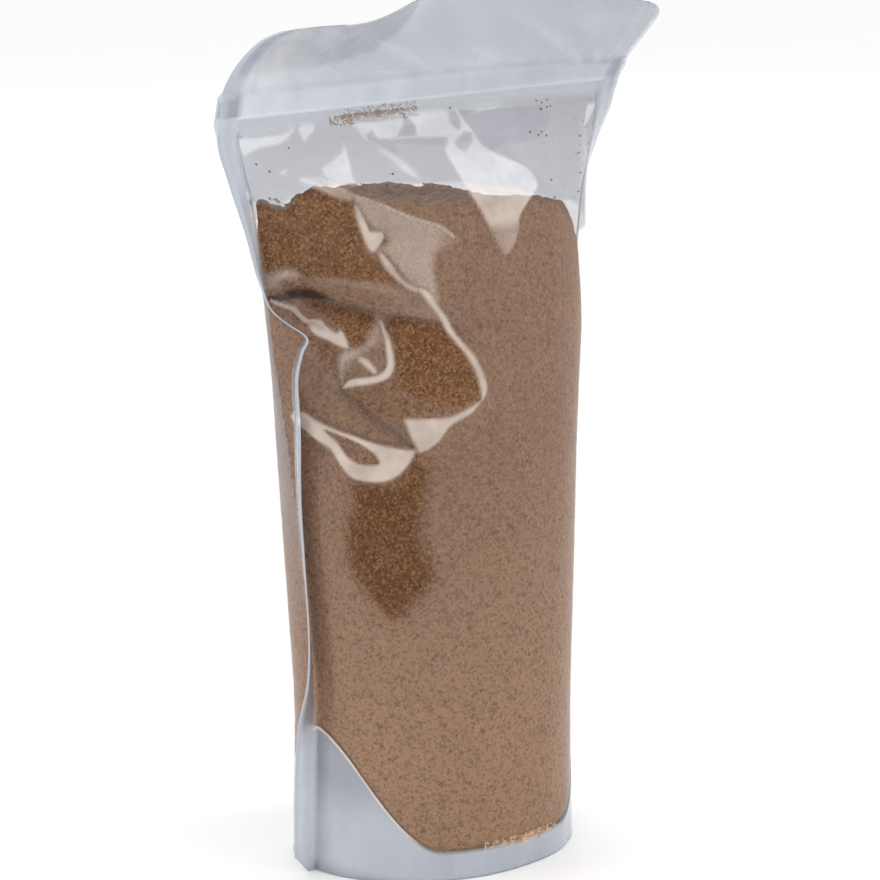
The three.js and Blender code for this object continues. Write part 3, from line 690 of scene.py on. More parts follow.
def clear_film():
    """Cast polypropylene film, laminated clear. Each layer dims what lies behind it, its two
    faces mirror the lights, and welds and wrinkles scatter a pale blue-grey haze. Painted shade
    turns it to the fold shadow's colour, and painted highlights mix in a pale layer where glare is set."""
    film = bpy.context.scene.pouch_film
    material = new_material("clear polypropylene film")
    tree = material.node_tree
    where = node(tree, "ShaderNodeTexCoord").outputs["Object"]
    milk, glare, touch, over, shade = (
        node(tree, "ShaderNodeAttribute", attribute_name=key).outputs["Fac"]
        for key in ("milk", "glare", "touch", "over", "shade"))
    # Drawn film scatters in slanting streaks about 9 mm apart
    drawn = node(tree, "ShaderNodeMapping", {0: where}, in_Rotation=(0.0, 0.95, 0.0),
                 in_Scale=(1.0, 1.0, 0.3))
    streaks = node(tree, "ShaderNodeTexNoise", {"Vector": drawn.outputs[0]}, in_Scale=1 / (9 * MM),
                   in_Detail=3.0).outputs["Fac"]
    streaky = math_node(tree, "MULTIPLY_ADD", ramp_between(tree, streaks, 0.2, 0.8), 0.3, 0.85)
    milky = math_node(tree, "MULTIPLY", milk, streaky)
    seen_through = blend(tree, over, linear(film.clear), linear(film.wetted))
    # Painted shade: where the shade attribute is set, the film turns to the fold shadow's colour
    dimmed = blend(tree, shade, seen_through, linear(film.shadow))
    clear = node(tree, "ShaderNodeBsdfTransparent", {"Color": dimmed})
    haze = node(tree, "ShaderNodeBsdfPrincipled", in_Base_Color=linear(film.haze), in_Roughness=0.5)
    hazy = node(tree, "ShaderNodeMixShader", {0: milky, 1: clear.outputs[0], 2: haze.outputs[0]})
    # The painted glare varies in patches 10 mm across
    patches = node(tree, "ShaderNodeTexNoise", {"Vector": where}, in_Scale=1 / (10 * MM)).outputs["Fac"]
    patchy = math_node(tree, "MULTIPLY_ADD", ramp_between(tree, patches, 0.2, 0.8), 0.7, 0.65)
    # Painted highlight: a pale diffuse layer, warmer with sugar behind, mixed in by the glare attribute
    tint = blend(tree, over, linear(film.glare), linear(film.painted_warm_glare))
    painted_highlight = node(tree, "ShaderNodeBsdfPrincipled", {"Base Color": tint}, in_Roughness=0.4)
    shining = math_node(tree, "MULTIPLY", glare, patchy)
    lit = node(tree, "ShaderNodeMixShader", {0: shining, 1: hazy.outputs[0], 2: painted_highlight.outputs[0]})
    # Wrinkles 6 mm apart
    wrinkles = node(tree, "ShaderNodeTexNoise", {"Vector": where}, in_Scale=1 / (6 * MM), in_Detail=2.0)
    bump = node(tree, "ShaderNodeBump", {"Height": wrinkles.outputs["Fac"]}, in_Strength=0.25,
                in_Distance=0.5 * MM)
    gloss = node(tree, "ShaderNodeBsdfAnisotropic", {"Normal": bump.outputs[0]}, in_Color=(1, 1, 1, 1),
                 in_Roughness=film.roughness)
    # Two faces of film in air mirror 8 percent, and sugar behind it leaves less than half of that
    layer = node(tree, "ShaderNodeLayerWeight", {"Normal": bump.outputs[0]}, in_Blend=0.5)
    facing = layer.outputs["Facing"]
    edge = math_node(tree, "POWER", facing, 5.0)
    mirror = math_node(tree, "MULTIPLY_ADD", edge, 0.8, 0.08)
    kept = math_node(tree, "MULTIPLY_ADD", touch, -0.35, math_node(tree, "MULTIPLY_ADD", over, -0.55, 1.0))
    share = math_node(tree, "MULTIPLY", mirror, kept)
    both = node(tree, "ShaderNodeMixShader", {0: share, 1: lit.outputs[0], 2: gloss.outputs[0]})
    node(tree, "ShaderNodeOutputMaterial", {"Surface": both.outputs[0]})
    return material


def brown_sugar():
    """Soft brown cane sugar: damp grains under 1 mm, each its own shade, with molasses specks and
    a few clear crystals that catch the light. It is darker where it is pressed against the film."""
    sugar = bpy.context.scene.pouch_sugar
    material = new_material("brown cane sugar")
    tree = material.node_tree
    where = node(tree, "ShaderNodeTexCoord").outputs["Object"]
    damp = node(tree, "ShaderNodeAttribute", attribute_name="touch").outputs["Fac"]
    height = node(tree, "ShaderNodeSeparateXYZ", {0: where}).outputs["Z"]
    grains = node(tree, "ShaderNodeTexVoronoi", {"Vector": where}, in_Scale=1 / sugar.grain)
    shade = node(tree, "ShaderNodeSeparateColor", {0: grains.outputs["Color"]})
    # Clumps and drifts 3 and 14 mm across
    clumps = node(tree, "ShaderNodeTexNoise", {"Vector": where}, in_Scale=1 / (3 * MM), in_Detail=4.0,
                  in_Roughness=0.65).outputs["Fac"]
    drifts = node(tree, "ShaderNodeTexNoise", {"Vector": where}, in_Scale=1 / (14 * MM),
                  in_Detail=2.0).outputs["Fac"]
    ragged = math_node(tree, "ADD", damp, math_node(tree, "MULTIPLY_ADD", clumps, 1.6, -0.8))
    damped = math_node(tree, "MULTIPLY", damp, ramp_between(tree, ragged, 0.0, 0.75))
    # Sugar is paler near the base
    dry = blend(tree, ramp_between(tree, height, 0.13, 0.04), linear(sugar.pale), linear(sugar.low))
    base = blend(tree, damped, dry, linear(sugar.dark))
    lighter = math_node(tree, "MULTIPLY", ramp_between(tree, drifts, 0.45, 0.75), 0.5)
    drifted = blend(tree, lighter, base, scaled(linear(sugar.pale), 1.25))
    duller = math_node(tree, "MULTIPLY", ramp_between(tree, clumps, 0.52, 0.68), 0.5)
    mottled = blend(tree, duller, drifted, scaled(linear(sugar.pale), 0.6))
    # Each grain has its own shade, most of all where the sugar is damp
    contrast = math_node(tree, "MULTIPLY_ADD", damp, 0.4, 0.52)
    deeper = math_node(tree, "MULTIPLY", ramp_between(tree, shade.outputs[0], 0.55, 0.9), contrast)
    grainy = blend(tree, deeper, mottled, scaled(linear(sugar.dark), 0.5))
    # Dark specks of uneven shape, from 0.4 mm to 1.5 mm
    spots = node(tree, "ShaderNodeTexNoise", {"Vector": where}, in_Scale=1 / (1.8 * MM),
                 in_Detail=2.0).outputs["Fac"]
    found = math_node(tree, "MULTIPLY", ramp_between(tree, spots, 0.61, 0.67), 0.6)
    specked = blend(tree, found, grainy, linear(sugar.speck))
    # Bright crystals of half a millimetre
    crystals = node(tree, "ShaderNodeTexVoronoi", {"Vector": where}, in_Scale=1 / (0.6 * MM))
    lit = node(tree, "ShaderNodeSeparateColor", {0: crystals.outputs["Color"]})
    bright = math_node(tree, "MULTIPLY", ramp_between(tree, lit.outputs[2], 0.65, 0.9),
                       math_node(tree, "MULTIPLY_ADD", damp, 0.12, 0.34))
    coloured = blend(tree, bright, specked, linear(sugar.golden))
    bump = node(tree, "ShaderNodeBump", {"Height": grains.outputs["Distance"]}, in_Strength=0.5,
                in_Distance=0.3 * MM, invert=True)
    surface = node(tree, "ShaderNodeBsdfPrincipled", {"Base Color": coloured, "Normal": bump.outputs[0]},
                   in_Roughness=0.6, in_Specular_IOR_Level=0.1)
    node(tree, "ShaderNodeOutputMaterial", {"Surface": surface.outputs[0]})
    return material


def loose_sugar(name, colour):
    """Single grains and crumbs of the same sugar, each piece its own shade by its place."""
    material = new_material(name)
    tree = material.node_tree
    where = node(tree, "ShaderNodeTexCoord").outputs["Object"]
    # One shade for each 1.5 mm
    patches = node(tree, "ShaderNodeTexVoronoi", {"Vector": where}, in_Scale=1 / (1.5 * MM))
    shade = node(tree, "ShaderNodeSeparateColor", {0: patches.outputs["Color"]})
    base = linear(colour)
    mixed = blend(tree, shade.outputs[0], scaled(base, 0.5), scaled(base, 1.5))
    surface = node(tree, "ShaderNodeBsdfPrincipled", {"Base Color": mixed}, in_Roughness=0.5)
    node(tree, "ShaderNodeOutputMaterial", {"Surface": surface.outputs[0]})
    return material


def milky_plastic():
    """Extruded low-density polyethylene, milky and slightly see-through, smooth from the die."""
    settings = bpy.context.scene.pouch_zip
    material = new_material("milky polyethylene")
    tree = material.node_tree
    where = node(tree, "ShaderNodeTexCoord").outputs["Object"]
    # Die lines 1 mm apart run along the strip
    drawn = node(tree, "ShaderNodeMapping", {0: where}, in_Scale=(0.02, 1.0, 1.0))
    lines = node(tree, "ShaderNodeTexNoise", {"Vector": drawn.outputs[0]}, in_Scale=1 / MM).outputs["Fac"]
    pale = linear(settings.colour)
    colour = blend(tree, ramp_between(tree, lines, 0.35, 0.7), scaled(pale, 0.8), pale)
    body = node(tree, "ShaderNodeBsdfPrincipled", {"Base Color": colour}, in_Roughness=0.35)
    clear = node(tree, "ShaderNodeBsdfTransparent", in_Color=pale)
    both = node(tree, "ShaderNodeMixShader", {1: clear.outputs[0], 2: body.outputs[0]}, in_0=0.6)
    node(tree, "ShaderNodeOutputMaterial", {"Surface": both.outputs[0]})
    return material


def plain_floor():
    """Matt painted board, pale and even, with a faint mottle."""
    stage = bpy.context.scene.pouch_stage
    material = new_material("matt painted board")
    tree = material.node_tree
    where = node(tree, "ShaderNodeTexCoord").outputs["Object"]
    # Roller marks 80 mm across
    marks = node(tree, "ShaderNodeTexNoise", {"Vector": where}, in_Scale=1 / (80 * MM)).outputs["Fac"]
    pale = linear(stage.floor)
    colour = blend(tree, marks, scaled(pale, 0.985), pale)
    surface = node(tree, "ShaderNodeBsdfPrincipled", {"Base Color": colour}, in_Roughness=0.8)
    node(tree, "ShaderNodeOutputMaterial", {"Surface": surface.outputs[0]})
    return material


# Pieces

# Which part of the film's skin a place belongs to
BODY, INSIDE, SEALED, SEAL_EDGE, BAND, TOP = range(6)

# The skin's rows: in the bowl, down inside the skirt, up to the weld, above it to a level row, then
# evenly spaced between heights, and through the zip band and the header
BOWL_ROWS, SKIRT_ROWS, BELOW_WELD_ROWS, ABOVE_WELD_ROWS, HEADER_ROWS = 9, 4, 8, 22, 22
WELD_EDGE = 1.2
ABOVE_WELD_TO = 60
EVEN_ROWS = [(ABOVE_WELD_TO, 125, 24), (125, ZIP_BASE - 3, 172)]
BAND_ROWS = [0, 1.2, 2.3, 3.2, 5, 7, 8.6, ZIP_BAND]
# Between these rows the band turns from clear film to milky
BAND_CLEAR, BAND_MILKY = 2.3, 3.2


def in_patches(table, q, z):
    """The strongest of a table's soft-edged outlines at each place."""
    found = np.zeros(np.shape(q))
    for strength, softness, outline in table:
        depth = depth_in(smooth_outline(outline), q, z)
        found = np.maximum(found, strength * ease(0.5 + depth / softness / 2))
    return found


def on_lines(table, q, z):
    """The strongest of a table's lines at each place."""
    found = np.zeros(np.shape(q))
    for strength, half, line in table:
        found = np.maximum(found, strength * ease(1.5 - distance_to(line, q, z) / half / 2))
    return found


def film_painted_glare(q, z, region):
    """How strongly highlights are painted on slack and welded film, the band and the header. The
    painted light is strongest to the left, so the whole pouch is palest there.
    """
    across = np.abs(q)
    share = across / PANEL
    weld = weld_height(share)
    outer = region == BODY
    glare = in_patches(PAINTED_GLARES, q, z)
    for outline in CLEAR_IN_GLARE:
        glare *= 1 - 0.9 * ease(0.5 + depth_in(smooth_outline(outline), q, z))
    # The shoulder's glare fades out towards its foot
    glare *= 1 - 0.55 * rise(q, 58, 64) * rise(z, 204, 199) * rise(z, 190, 194)
    glare = np.maximum(glare, on_lines(PAINTED_GLEAMS, q, z))
    # A highlight is painted along the weld, strong to the left and less in the middle
    near_weld = rise(np.abs(z - weld), 1.2, 0.4)
    shine = 0.65 * rise(share, 0.32, 0.22) + 0.25 * rise(share, 0.28, 0.33) * rise(share, 0.8, 0.75)
    on_weld = np.where(outer, near_weld * shine, 0)
    glare = np.maximum(np.where(outer & (q < 0), 0, glare), on_weld)
    # Painted light: the skirt below the weld is lighter to the left, and the seals' feet are lighter
    glare = np.where(outer & (z < weld), 0.07 * rise(across, 60, 20), glare)
    glare = np.where(region == SEALED, 0.25 * rise(z, 50, 40), glare)
    up = z - ZIP_BASE
    # Painted light on the milky part of the band, strongest to the left
    on_band = (0.06 + 0.24 * rise(across, 110, 10)) * rise(up, BAND_CLEAR, BAND_MILKY)
    glare = np.where(region == BAND, on_band, glare)
    # Painted highlights on the header: slanting streaks 22 mm long and 5 mm apart, more to the left
    drawn = [noise.noise(Vector(((a * 0.7 + b) / 5, (a - 0.7 * b) / 22, 0.0)))
             for a, b in zip(across.ravel(), up.ravel())]
    streaks = np.reshape(drawn, q.shape).clip(-0.3, 0.5)
    on_header = 0.05 + 0.25 * rise(across, 60, 15) + 0.15 * streaks
    return np.where(region == TOP, on_header.clip(0), glare)


def film_shade(q, z, over):
    """How much painted shade dims what is behind the front film, in lines and broad shadows at folds. The
    clear neck is dull to the right.
    """
    shade = np.maximum(on_lines(PAINTED_SHADES, q, z), in_patches(SHADOWS, q, z))
    dull = 0.09 * rise(np.abs(q), 45, 75) + 0.08 * rise(np.abs(q), 85, 115)
    return np.maximum(shade, dull * (1 - over))


def film_milk(q, z, region, over, below, touch):
    """How milky the film is. The skirt is sheer under the left apex of the weld, and film that
    touches damp sugar is clearest."""
    outer = region == BODY
    sheer = 0.3 * rise(z, 16, 34) * rise(np.abs(q) / PANEL, 0.4, 0.25)
    on_sugar = (MILK["on sugar"] - 0.015 * touch) * over
    milk = np.where(outer, on_sugar + MILK["neck"] * (1 - over) + (MILK["skirt"] - sheer) * below, 0.0)
    # Slack film beside the left seal
    milk = milk + np.where(outer & (q < 0), 0.2 * over * rise(q, -18, -6) * rise(z, 70, 130), 0)
    milk = np.where(region == INSIDE, MILK["inside"], milk)
    foot = rise(z, 50, 40)
    milk = np.where(region == SEALED, MILK["seal"] + (MILK["foot of seal"] - MILK["seal"]) * foot, milk)
    milk = np.where(region == SEAL_EDGE, MILK["edge"], milk)
    up = z - ZIP_BASE
    band = MILK["foot of band"] + (MILK["band"] - MILK["foot of band"]) * rise(up, BAND_CLEAR, BAND_MILKY)
    milk = np.where(region == BAND, band, milk)
    header = MILK["foot of header"] + (MILK["header"] - MILK["foot of header"]) * rise(up - ZIP_BAND, 0, 6)
    return np.where(region == TOP, header, milk)


def film_values(q, z, region):
    """Haze, painted glare, touch, sugar behind and painted shade of the film at each place."""
    front = (region == BODY) & (q >= 0)
    touch = in_patches(DARK_PATCHES, q, z)
    below = rise(weld_height(np.abs(q) / PANEL) - z, -0.5, 0.5)
    seen_level = np.where(q < 0, sugar_level(q), np.interp(q, *zip(*LEVEL_SEEN)))
    sugar_behind = rise(seen_level - z, -0.8, 0.8)
    over = np.where(region == BODY, sugar_behind * (1 - below), 0)
    return {"milk": film_milk(q, z, region, over, below, touch), "glare": film_painted_glare(q, z, region),
            "touch": np.where(front, touch, 0), "over": over,
            "shade": np.where(front, film_shade(q, z, over), 0)}


def film_rings(columns):
    """The skin's rings from the middle of the bowl, down inside the skirt, up the outside and
    over the header's top edge, with the region that each belongs to."""
    rings = [(inner_ring(columns, 1, 2), INSIDE)]
    rings += [(inner_ring(columns, 1, i / BOWL_ROWS), INSIDE) for i in range(BOWL_ROWS, -1, -1)]
    rings += [(inner_ring(columns, i / SKIRT_ROWS, 0), INSIDE) for i in range(SKIRT_ROWS - 1, -1, -1)]
    weld = weld_height(columns.share)
    heights = [(weld - WELD_EDGE) * i / BELOW_WELD_ROWS for i in range(BELOW_WELD_ROWS + 1)]
    heights += [weld - 0.5, weld + 0.5, weld + WELD_EDGE]
    heights += [weld + WELD_EDGE + (ABOVE_WELD_TO - weld - WELD_EDGE) * i / ABOVE_WELD_ROWS
                for i in range(1, ABOVE_WELD_ROWS + 1)]
    for low, high, steps in EVEN_ROWS:
        heights += [low + (high - low) * i / steps for i in range(1, steps + 1)]
    rings += [(body_ring(columns, height), BODY) for height in heights]
    for s in BAND_ROWS:
        rings.append((sheet_ring(columns, s, BAND_FILM), BAND))
    for i in range(1, HEADER_ROWS + 1):
        s = ZIP_BAND + HEADER * (i / HEADER_ROWS) ** 0.85
        rings.append((sheet_ring(columns, s, HEADER_FILM if i < HEADER_ROWS else 0), TOP))
    return rings


class POUCH_OT_film(bpy.types.Operator):
    """Adds the clear film: panels, folds, side seals, skirt, gusset and header in one skin"""
    bl_idname = "pouch.film"
    bl_label = "Film"

    def execute(self, context):
        settings = context.scene.pouch_film
        columns = Columns(settings.columns, settings.crowding)
        rings = film_rings(columns)
        places = np.stack([ring[0][0] for ring in rings])
        q = np.stack([np.broadcast_to(ring[0][1], columns.share.shape) for ring in rings])
        z = np.stack([np.broadcast_to(ring[0][2], columns.share.shape) for ring in rings])
        region = np.stack([np.full(columns.share.shape, ring[1]) for ring in rings])
        region = np.where((columns.fin > 0)[None] & (region != INSIDE), SEALED, region)
        region = np.where((columns.fin > 0.9)[None] & (region == SEALED), SEAL_EDGE, region)
        values = film_values(q, z, region)
        piece, order = sewn_grid("film", places)
        keep_values(piece, order, **values)
        sew_up(piece, 0.03 * MM)
        finish_piece(piece, clear_film(), "sugar_in_film", "pouch")
        return {"FINISHED"}


def sugar_level(q):
    """Height of the sugar's rim round the film."""
    front = np.interp(np.abs(q), *zip(*LEVEL_FRONT))
    back = np.interp(np.abs(q), *zip(*LEVEL_BACK))
    return np.where(q >= 0, front, back)


def rough(places, size, seed):
    """Even lumps of this size at each place, from -1 to 1."""
    shift = Vector((seed, 0, 0))
    lumps = [noise.noise(Vector(p) / size + shift) for p in places.reshape(-1, 3)]
    return np.reshape(lumps, places.shape[:-1])


SUGAR_COLUMNS, SUGAR_BOWL_ROWS, SUGAR_ROWS, SUGAR_TOP_ROWS = 150, 8, 150, 18
# How far the sugar's bottom stands off the gusset, how far its rim falls back from the film, and
# how far it falls back at the top right, where it doesn't fill the pouch
OFF_GUSSET, RIM_BACK, RIGHT_BACK = 0.2, 0.9, 2.8
# The heap's crest: its share of the rim's width, and how far below the rim it lies
CREST_SHARE, CREST_DROP = 0.86, 1.5


def sugar_rings(gap):
    """The heap's rings: the bowl from its middle, the sides up to the level, and the top."""
    share = np.arange(SUGAR_COLUMNS + 1) / SUGAR_COLUMNS
    share = np.concatenate([share, share[::-1][1:]])
    side = np.where(np.arange(len(share)) <= SUGAR_COLUMNS, 1.0, -1.0)
    q = side * share * PANEL
    weld = weld_height(share)
    rings, touches = [], []
    for i in range(SUGAR_BOWL_ROWS + 1, -1, -1):
        inward = i / SUGAR_BOWL_ROWS
        wall = body_places(q, weld, -SKIRT_FILM - gap)
        radius = 1 + (FLAT_SHARE - 1) * inward if inward <= 1 else 0
        z = weld * max(1 - inward, 0) ** BOWL_CURVE + gap + OFF_GUSSET
        rings.append(np.stack([wall[:, 0] * radius, (wall[:, 1] - BEHIND) * radius + BEHIND, z], -1))
        touches.append(np.zeros(len(q)))
    level = sugar_level(q) + 0.7 * rough(body_places(q, sugar_level(q)), 5.0, 1.0)
    level += 0.7 * rough(body_places(q, level), 1.8, 2.0)
    for i in range(1, SUGAR_ROWS + 1):
        z = weld + gap + (level - weld - gap) * (i / SUGAR_ROWS)
        inset = gap + RIM_BACK * rise(level - z, 6, 0)
        inset += RIGHT_BACK * rise(np.abs(q), 96, 114) * rise(z, 160, 205)
        lift = np.where(q >= 0, fold_lift(np.abs(q), z, sugar=True), 0)
        grainy = 0.12 * rough(body_places(q, z), 2.5, 5.0)
        rings.append(body_places(q, z, lift + grainy - inset))
        touches.append(np.where(q >= 0, in_patches(DARK_PATCHES, q, z), 0))
    rim = rings[-1].copy()
    middle = 0.5 * (level + level[::-1]) - CREST_DROP
    crest = np.stack([rim[:, 0] * CREST_SHARE, np.full(len(q), BEHIND), middle], -1)
    for i in range(1, SUGAR_TOP_ROWS + 1):
        inward = ease(i / SUGAR_TOP_ROWS) if i < SUGAR_TOP_ROWS else 1.0
        ring = rim + (crest - rim) * inward
        bumps = 1.8 * rough(ring, 6.0, 7.0) + 0.7 * rough(ring, 2.0, 8.0)
        ring[:, 2] += bumps * min(1, 3 * i / SUGAR_TOP_ROWS) + 0.8 * math.sin(math.pi * inward)
        rings.append(ring)
        touches.append(touches[SUGAR_BOWL_ROWS + SUGAR_ROWS] * (1 - inward))
    return np.stack(rings), np.stack(touches)


class POUCH_OT_sugar(bpy.types.Operator):
    """Adds the brown sugar that fills the pouch up to its uneven level"""
    bl_idname = "pouch.sugar"
    bl_label = "Sugar"

    def execute(self, context):
        rings, touch = sugar_rings(context.scene.pouch_sugar.gap / MM)
        piece, order = sewn_grid("sugar", rings)
        keep_values(piece, order, touch=touch)
        sew_up(piece, 0.03 * MM)
        finish_piece(piece, brown_sugar(), "sugar_in_film", "pouch")
        return {"FINISHED"}


def grain_shape(seed, subdivisions, spiky):
    """One lumpy grain about the origin, 1 across, as corners and faces."""
    deselect_all()
    bpy.ops.mesh.primitive_ico_sphere_add(subdivisions=subdivisions, radius=0.5)
    grain = bpy.context.object
    corners = np.array([v.co for v in grain.data.vertices])
    faces = np.array([p.vertices[:] for p in grain.data.polygons])
    swell = np.array([noise.noise(Vector(c) * 2.5 + Vector((seed * 7.3, 0, 0))) for c in corners])
    bpy.data.objects.remove(grain)
    return corners * (1 + spiky * swell)[:, None], faces


def scatter(name, places, sizes, seed, subdivisions=1, spiky=0.6):
    """Copies of four grain shapes, each turned and sized on its own, joined into one mesh."""
    random = np.random.default_rng(seed)
    shapes = [grain_shape(seed + i, subdivisions, spiky) for i in range(4)]
    corners, faces, count = [], [], 0
    for place, size in zip(places, sizes):
        shape, triangles = shapes[random.integers(4)]
        turn = np.array(Matrix.Rotation(random.uniform(0, math.tau), 3, Vector(random.normal(size=3))))
        stretch = random.uniform(0.75, 1.2, 3)
        corners.append((shape * stretch) @ turn.T * size + place)
        faces.append(triangles + count)
        count += len(shape)
    mesh = bpy.data.meshes.new(name)
    mesh.from_pydata((np.concatenate(corners) * MM).tolist(), [], np.concatenate(faces).tolist())
    piece = bpy.data.objects.new(name, mesh)
    bpy.context.scene.collection.objects.link(piece)
    select_only(piece)
    bpy.ops.object.mode_set(mode="EDIT")
    bpy.ops.mesh.select_all(action="SELECT")
    bpy.ops.mesh.normals_make_consistent(inside=False)
    bpy.ops.object.mode_set(mode="OBJECT")
    return piece


# Loose pieces on the heap: name, setting of their number, least and most size, how far they stand
# up in their own sizes, and how finely one is meshed
LOOSE = [("loose_grains", "loose_grains", 0.35, 0.75, 0.2, 1), ("sugar_clumps", "clumps", 1.0, 2.2, 0.0, 2)]
# How far they stray, and how much nearer the middle they lie than the rim
STRAY, DRAWN_IN = 0.6, 0.06


class POUCH_OT_grains(bpy.types.Operator):
    """Adds the loose grains and clumps on top of the sugar"""
    bl_idname = "pouch.grains"
    bl_label = "Loose grains"

    def execute(self, context):
        settings = context.scene.pouch_sugar
        random = np.random.default_rng(11)
        top = sugar_rings(settings.gap / MM)[0][-SUGAR_TOP_ROWS - 2:].reshape(-1, 3)
        for name, number, low, high, level, fine in LOOSE:
            count = getattr(settings, number)
            places = top[random.integers(len(top), size=count)]
            sizes = low + (high - low) * random.random(count) ** 2
            places = places + np.stack([random.normal(0, STRAY, count), random.normal(0, STRAY, count),
                                        sizes * level], -1)
            places[:, :2] += ((0, BEHIND) - places[:, :2]) * DRAWN_IN
            piece = scatter(name, places, sizes, 20 + fine, fine, 0.45)
            finish_piece(piece, loose_sugar("sugar grains " + name, settings.loose), "sugar_in_film")
        return {"FINISHED"}


class POUCH_OT_zip(bpy.types.Operator):
    """Adds the ribbed press-to-close strip in the band under the header"""
    bl_idname = "pouch.zip"
    bl_label = "Zip strip"

    def execute(self, context):
        settings = context.scene.pouch_zip
        low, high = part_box("zip_strip")
        deselect_all()
        bpy.ops.mesh.primitive_cube_add(size=1)
        strip = context.object
        strip.name = strip.data.name = "zip_strip_ribbed"
        strip.scale = ((high - low).x, settings.thickness, settings.height)
        bpy.ops.object.transform_apply(location=False, rotation=False, scale=True)
        bpy.ops.object.mode_set(mode="EDIT")
        # Three ribs, a third of the height apart
        ribs = [settings.height / 3 * k for k in (-1, 0, 1)]
        half = settings.height / 13
        for centre in ribs:
            for edge in (centre - half, centre + half):
                bpy.ops.mesh.select_all(action="SELECT")
                bpy.ops.mesh.bisect(plane_co=(0, 0, edge), plane_no=(0, 0, 1))
        bpy.ops.mesh.select_all(action="DESELECT")
        bpy.ops.object.mode_set(mode="OBJECT")
        for face in strip.data.polygons:
            on_rib = min(abs(face.center.z - c) for c in ribs) < half / 2
            face.select = on_rib and abs(face.normal.y) > 0.9
        bpy.ops.object.mode_set(mode="EDIT")
        bpy.ops.mesh.extrude_region_shrink_fatten(
            TRANSFORM_OT_shrink_fatten={"value": settings.rib})
        bpy.ops.object.mode_set(mode="OBJECT")
        bevel = strip.modifiers.new("Bevel", "BEVEL")
        bevel.width, bevel.segments = 0.12 * MM, 2
        select_only(strip)
        bpy.ops.object.modifier_apply(modifier=bevel.name)
        tilt = math.radians(ZIP_TILT)
        middle = Vector((0, -math.sin(tilt), math.cos(tilt))) * (ZIP_MIDDLE * MM)
        middle.z += ZIP_BASE * MM
        turn = Matrix.Rotation(math.radians(ZIP_TURN), 4, "Z")
        upright = Matrix.Translation(middle) @ Matrix.Rotation(tilt, 4, "X")
        strip.data.transform(Matrix.Translation((0, BEHIND * MM, 0)) @ turn @ upright)
        bpy.ops.object.shade_smooth_by_angle(angle=math.radians(35))
        finish_piece(strip, milky_plastic(), "zip_plastic", "zip_strip")
        return {"FINISHED"}


# Crumbs: how deep they lie behind the film's smooth form, their least and most size, the size of a
# speck, and how many there are
CRUMB_DEPTH = 0.7
CRUMB_SIZES = {"zip": (0.25, 0.65), "neck": (0.2, 0.5), "base": (0.25, 0.75)}
SPECK_SIZE = 0.7
CRUMB_COUNTS = {"zip": 900, "band": 120, "neck": 40, "base": 900}


class POUCH_OT_crumbs(bpy.types.Operator):
    """Adds crumbs caught under the zip, stuck in the neck, and along the weld at the base"""
    bl_idname = "pouch.crumbs"
    bl_label = "Crumbs"

    def execute(self, context):
        sugar = context.scene.pouch_sugar
        random = np.random.default_rng(5)
        # Left of the middle, just under the zip, and a few in the clear foot of its band
        count = CRUMB_COUNTS["zip"]
        q = 58 + 6.0 * random.normal(size=count).clip(-1.9, 1.9)
        z = ZIP_BASE - 0.1 - 3.0 * random.random(count) ** 1.5
        caught = body_places(q, z, -CRUMB_DEPTH)
        x = random.uniform(-33, -4, CRUMB_COUNTS["band"])
        s = random.uniform(0.1, BAND_CLEAR, CRUMB_COUNTS["band"])
        inside = BAND_FILM / 2 - 0.5
        above = np.concatenate([sheet_places(np.array([a]), b, inside) for a, b in zip(x, s)])
        sizes = random.uniform(*CRUMB_SIZES["zip"], count + len(above))
        piece = scatter("crumbs_in_zip", np.concatenate([caught, above]), sizes, 31)
        finish_piece(piece, loose_sugar("sugar crumbs in zip", sugar.zip_crumb), "sugar_in_film")
        # The specks, and dust at the right end of the neck
        count = CRUMB_COUNTS["neck"]
        q = np.concatenate([[place[0] for place in SPECKS], random.uniform(112, 140, count)])
        z = np.concatenate([[place[1] for place in SPECKS], random.uniform(198, 232, count)])
        dust = random.uniform(*CRUMB_SIZES["neck"], count)
        sizes = np.concatenate([np.full(len(SPECKS), SPECK_SIZE), dust])
        piece = scatter("specks_in_neck", body_places(q, z, -CRUMB_DEPTH), sizes, 41)
        finish_piece(piece, loose_sugar("sugar specks in neck", sugar.neck_speck), "sugar_in_film")
        # Along the weld where it is lowest, in front of the sugar
        count = CRUMB_COUNTS["base"]
        q = 76 + 9 * random.normal(size=count).clip(-1.7, 1.7)
        z = weld_height(q / PANEL) + 2.4 - 3.2 * random.random(count)
        low = body_places(q, z, -SKIRT_FILM / 2)
        piece = scatter("crumbs_at_base", low, random.uniform(*CRUMB_SIZES["base"], count), 51)
        finish_piece(piece, loose_sugar("sugar crumbs at base", sugar.base_crumb), "sugar_in_film")
        return {"FINISHED"}


def add_softbox(name, azimuth, elevation, distance, width, height, radiance, gloss):
    """A rectangular softbox that faces the middle of the pouch."""
    a, e = math.radians(azimuth), math.radians(elevation)
    away = Vector((math.sin(a) * math.cos(e), -math.cos(a) * math.cos(e), math.sin(e)))
    light = bpy.data.lights.new(name, "AREA")
    light.shape, light.size, light.size_y = "RECTANGLE", width, height
    light.energy = radiance * math.pi * width * height
    lamp = bpy.data.objects.new(name, light)
    lamp.location = Vector((0, 0, HEIGHT_LIT)) + away * distance
    lamp.rotation_euler = away.to_track_quat("Z", "Y").to_euler()
    lamp.visible_camera = False
    lamp.visible_glossy = gloss
    bpy.context.scene.collection.objects.link(lamp)


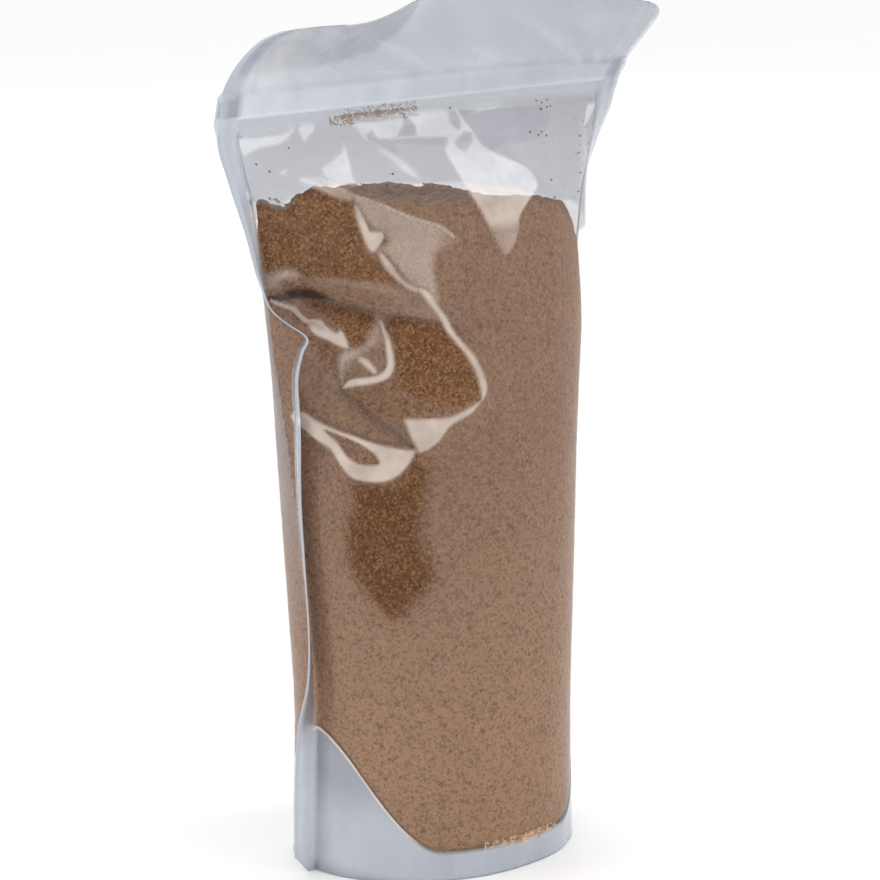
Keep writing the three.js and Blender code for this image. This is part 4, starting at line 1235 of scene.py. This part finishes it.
class POUCH_OT_stage(bpy.types.Operator):
    """Adds the pale floor, the softboxes, the surround and the camera"""
    bl_idname = "pouch.stage"
    bl_label = "Stage"

    def execute(self, context):
        stage = context.scene.pouch_stage
        deselect_all()
        bpy.ops.mesh.primitive_circle_add(vertices=96, radius=FLOOR_RADIUS, fill_type="NGON")
        floor = context.object
        floor.name = floor.data.name = "floor"
        floor.data.transform(Matrix.Translation((0, 0, -FLOOR_DROP)))
        floor.data.materials.append(plain_floor())
        for softbox in SOFTBOXES:
            add_softbox(*softbox)
        world = bpy.data.worlds.new("soft surround")
        world.use_nodes = True
        background = world.node_tree.nodes["Background"]
        background.inputs["Color"].default_value = (1.0, 1.0, 1.0, 1.0)
        background.inputs["Strength"].default_value = stage.sky
        context.scene.world = world
        context.scene.view_settings.view_transform = "Standard"
        # A ray may pass a dozen layers of film
        context.scene.cycles.transparent_max_bounces = 24
        back = Vector((math.sin(stage.azimuth) * math.cos(stage.elevation),
                       -math.cos(stage.azimuth) * math.cos(stage.elevation), math.sin(stage.elevation)))
        camera = bpy.data.objects.new("camera", bpy.data.cameras.new("camera"))
        camera.data.lens = stage.lens
        camera.data.clip_start = 0.01
        camera.location = Vector(stage.target) + back * stage.distance
        aim = back.to_track_quat("Z", "Y").to_matrix() @ Matrix.Rotation(stage.roll, 3, "Z")
        camera.rotation_euler = aim.to_euler()
        context.scene.collection.objects.link(camera)
        context.scene.camera = camera
        return {"FINISHED"}


class POUCH_PT_panel(bpy.types.Panel):
    """The pouch's steps and settings."""
    bl_idname = "POUCH_PT_panel"
    bl_label = "Pouch of brown sugar"
    bl_space_type = "VIEW_3D"
    bl_region_type = "UI"
    bl_category = "Pouch"

    def draw(self, context):
        for step in STEPS:
            self.layout.operator(step.bl_idname)
        for group in SETTINGS:
            settings = getattr(context.scene, group)
            box = self.layout.box()
            for key in SETTINGS[group].__annotations__:
                box.prop(settings, key)


STEPS = [POUCH_OT_sugar, POUCH_OT_grains, POUCH_OT_zip, POUCH_OT_crumbs, POUCH_OT_film, POUCH_OT_stage]
SETTINGS = {"pouch_film": PouchFilmSettings, "pouch_sugar": PouchSugarSettings,
            "pouch_zip": PouchZipSettings, "pouch_stage": PouchStageSettings}


def register():
    for kind in [*SETTINGS.values(), *STEPS, POUCH_PT_panel]:
        bpy.utils.register_class(kind)
    for key, kind in SETTINGS.items():
        setattr(bpy.types.Scene, key, PointerProperty(type=kind))


def unregister():
    for key in SETTINGS:
        delattr(bpy.types.Scene, key)
    for kind in reversed([*SETTINGS.values(), *STEPS, POUCH_PT_panel]):
        bpy.utils.unregister_class(kind)


def main():
    register()
    bpy.ops.pouch.sugar()
    bpy.ops.pouch.grains()
    bpy.ops.pouch.zip()
    bpy.ops.pouch.crumbs()
    bpy.ops.pouch.film()
    bpy.ops.pouch.stage()


if __name__ == "__main__":
    main()
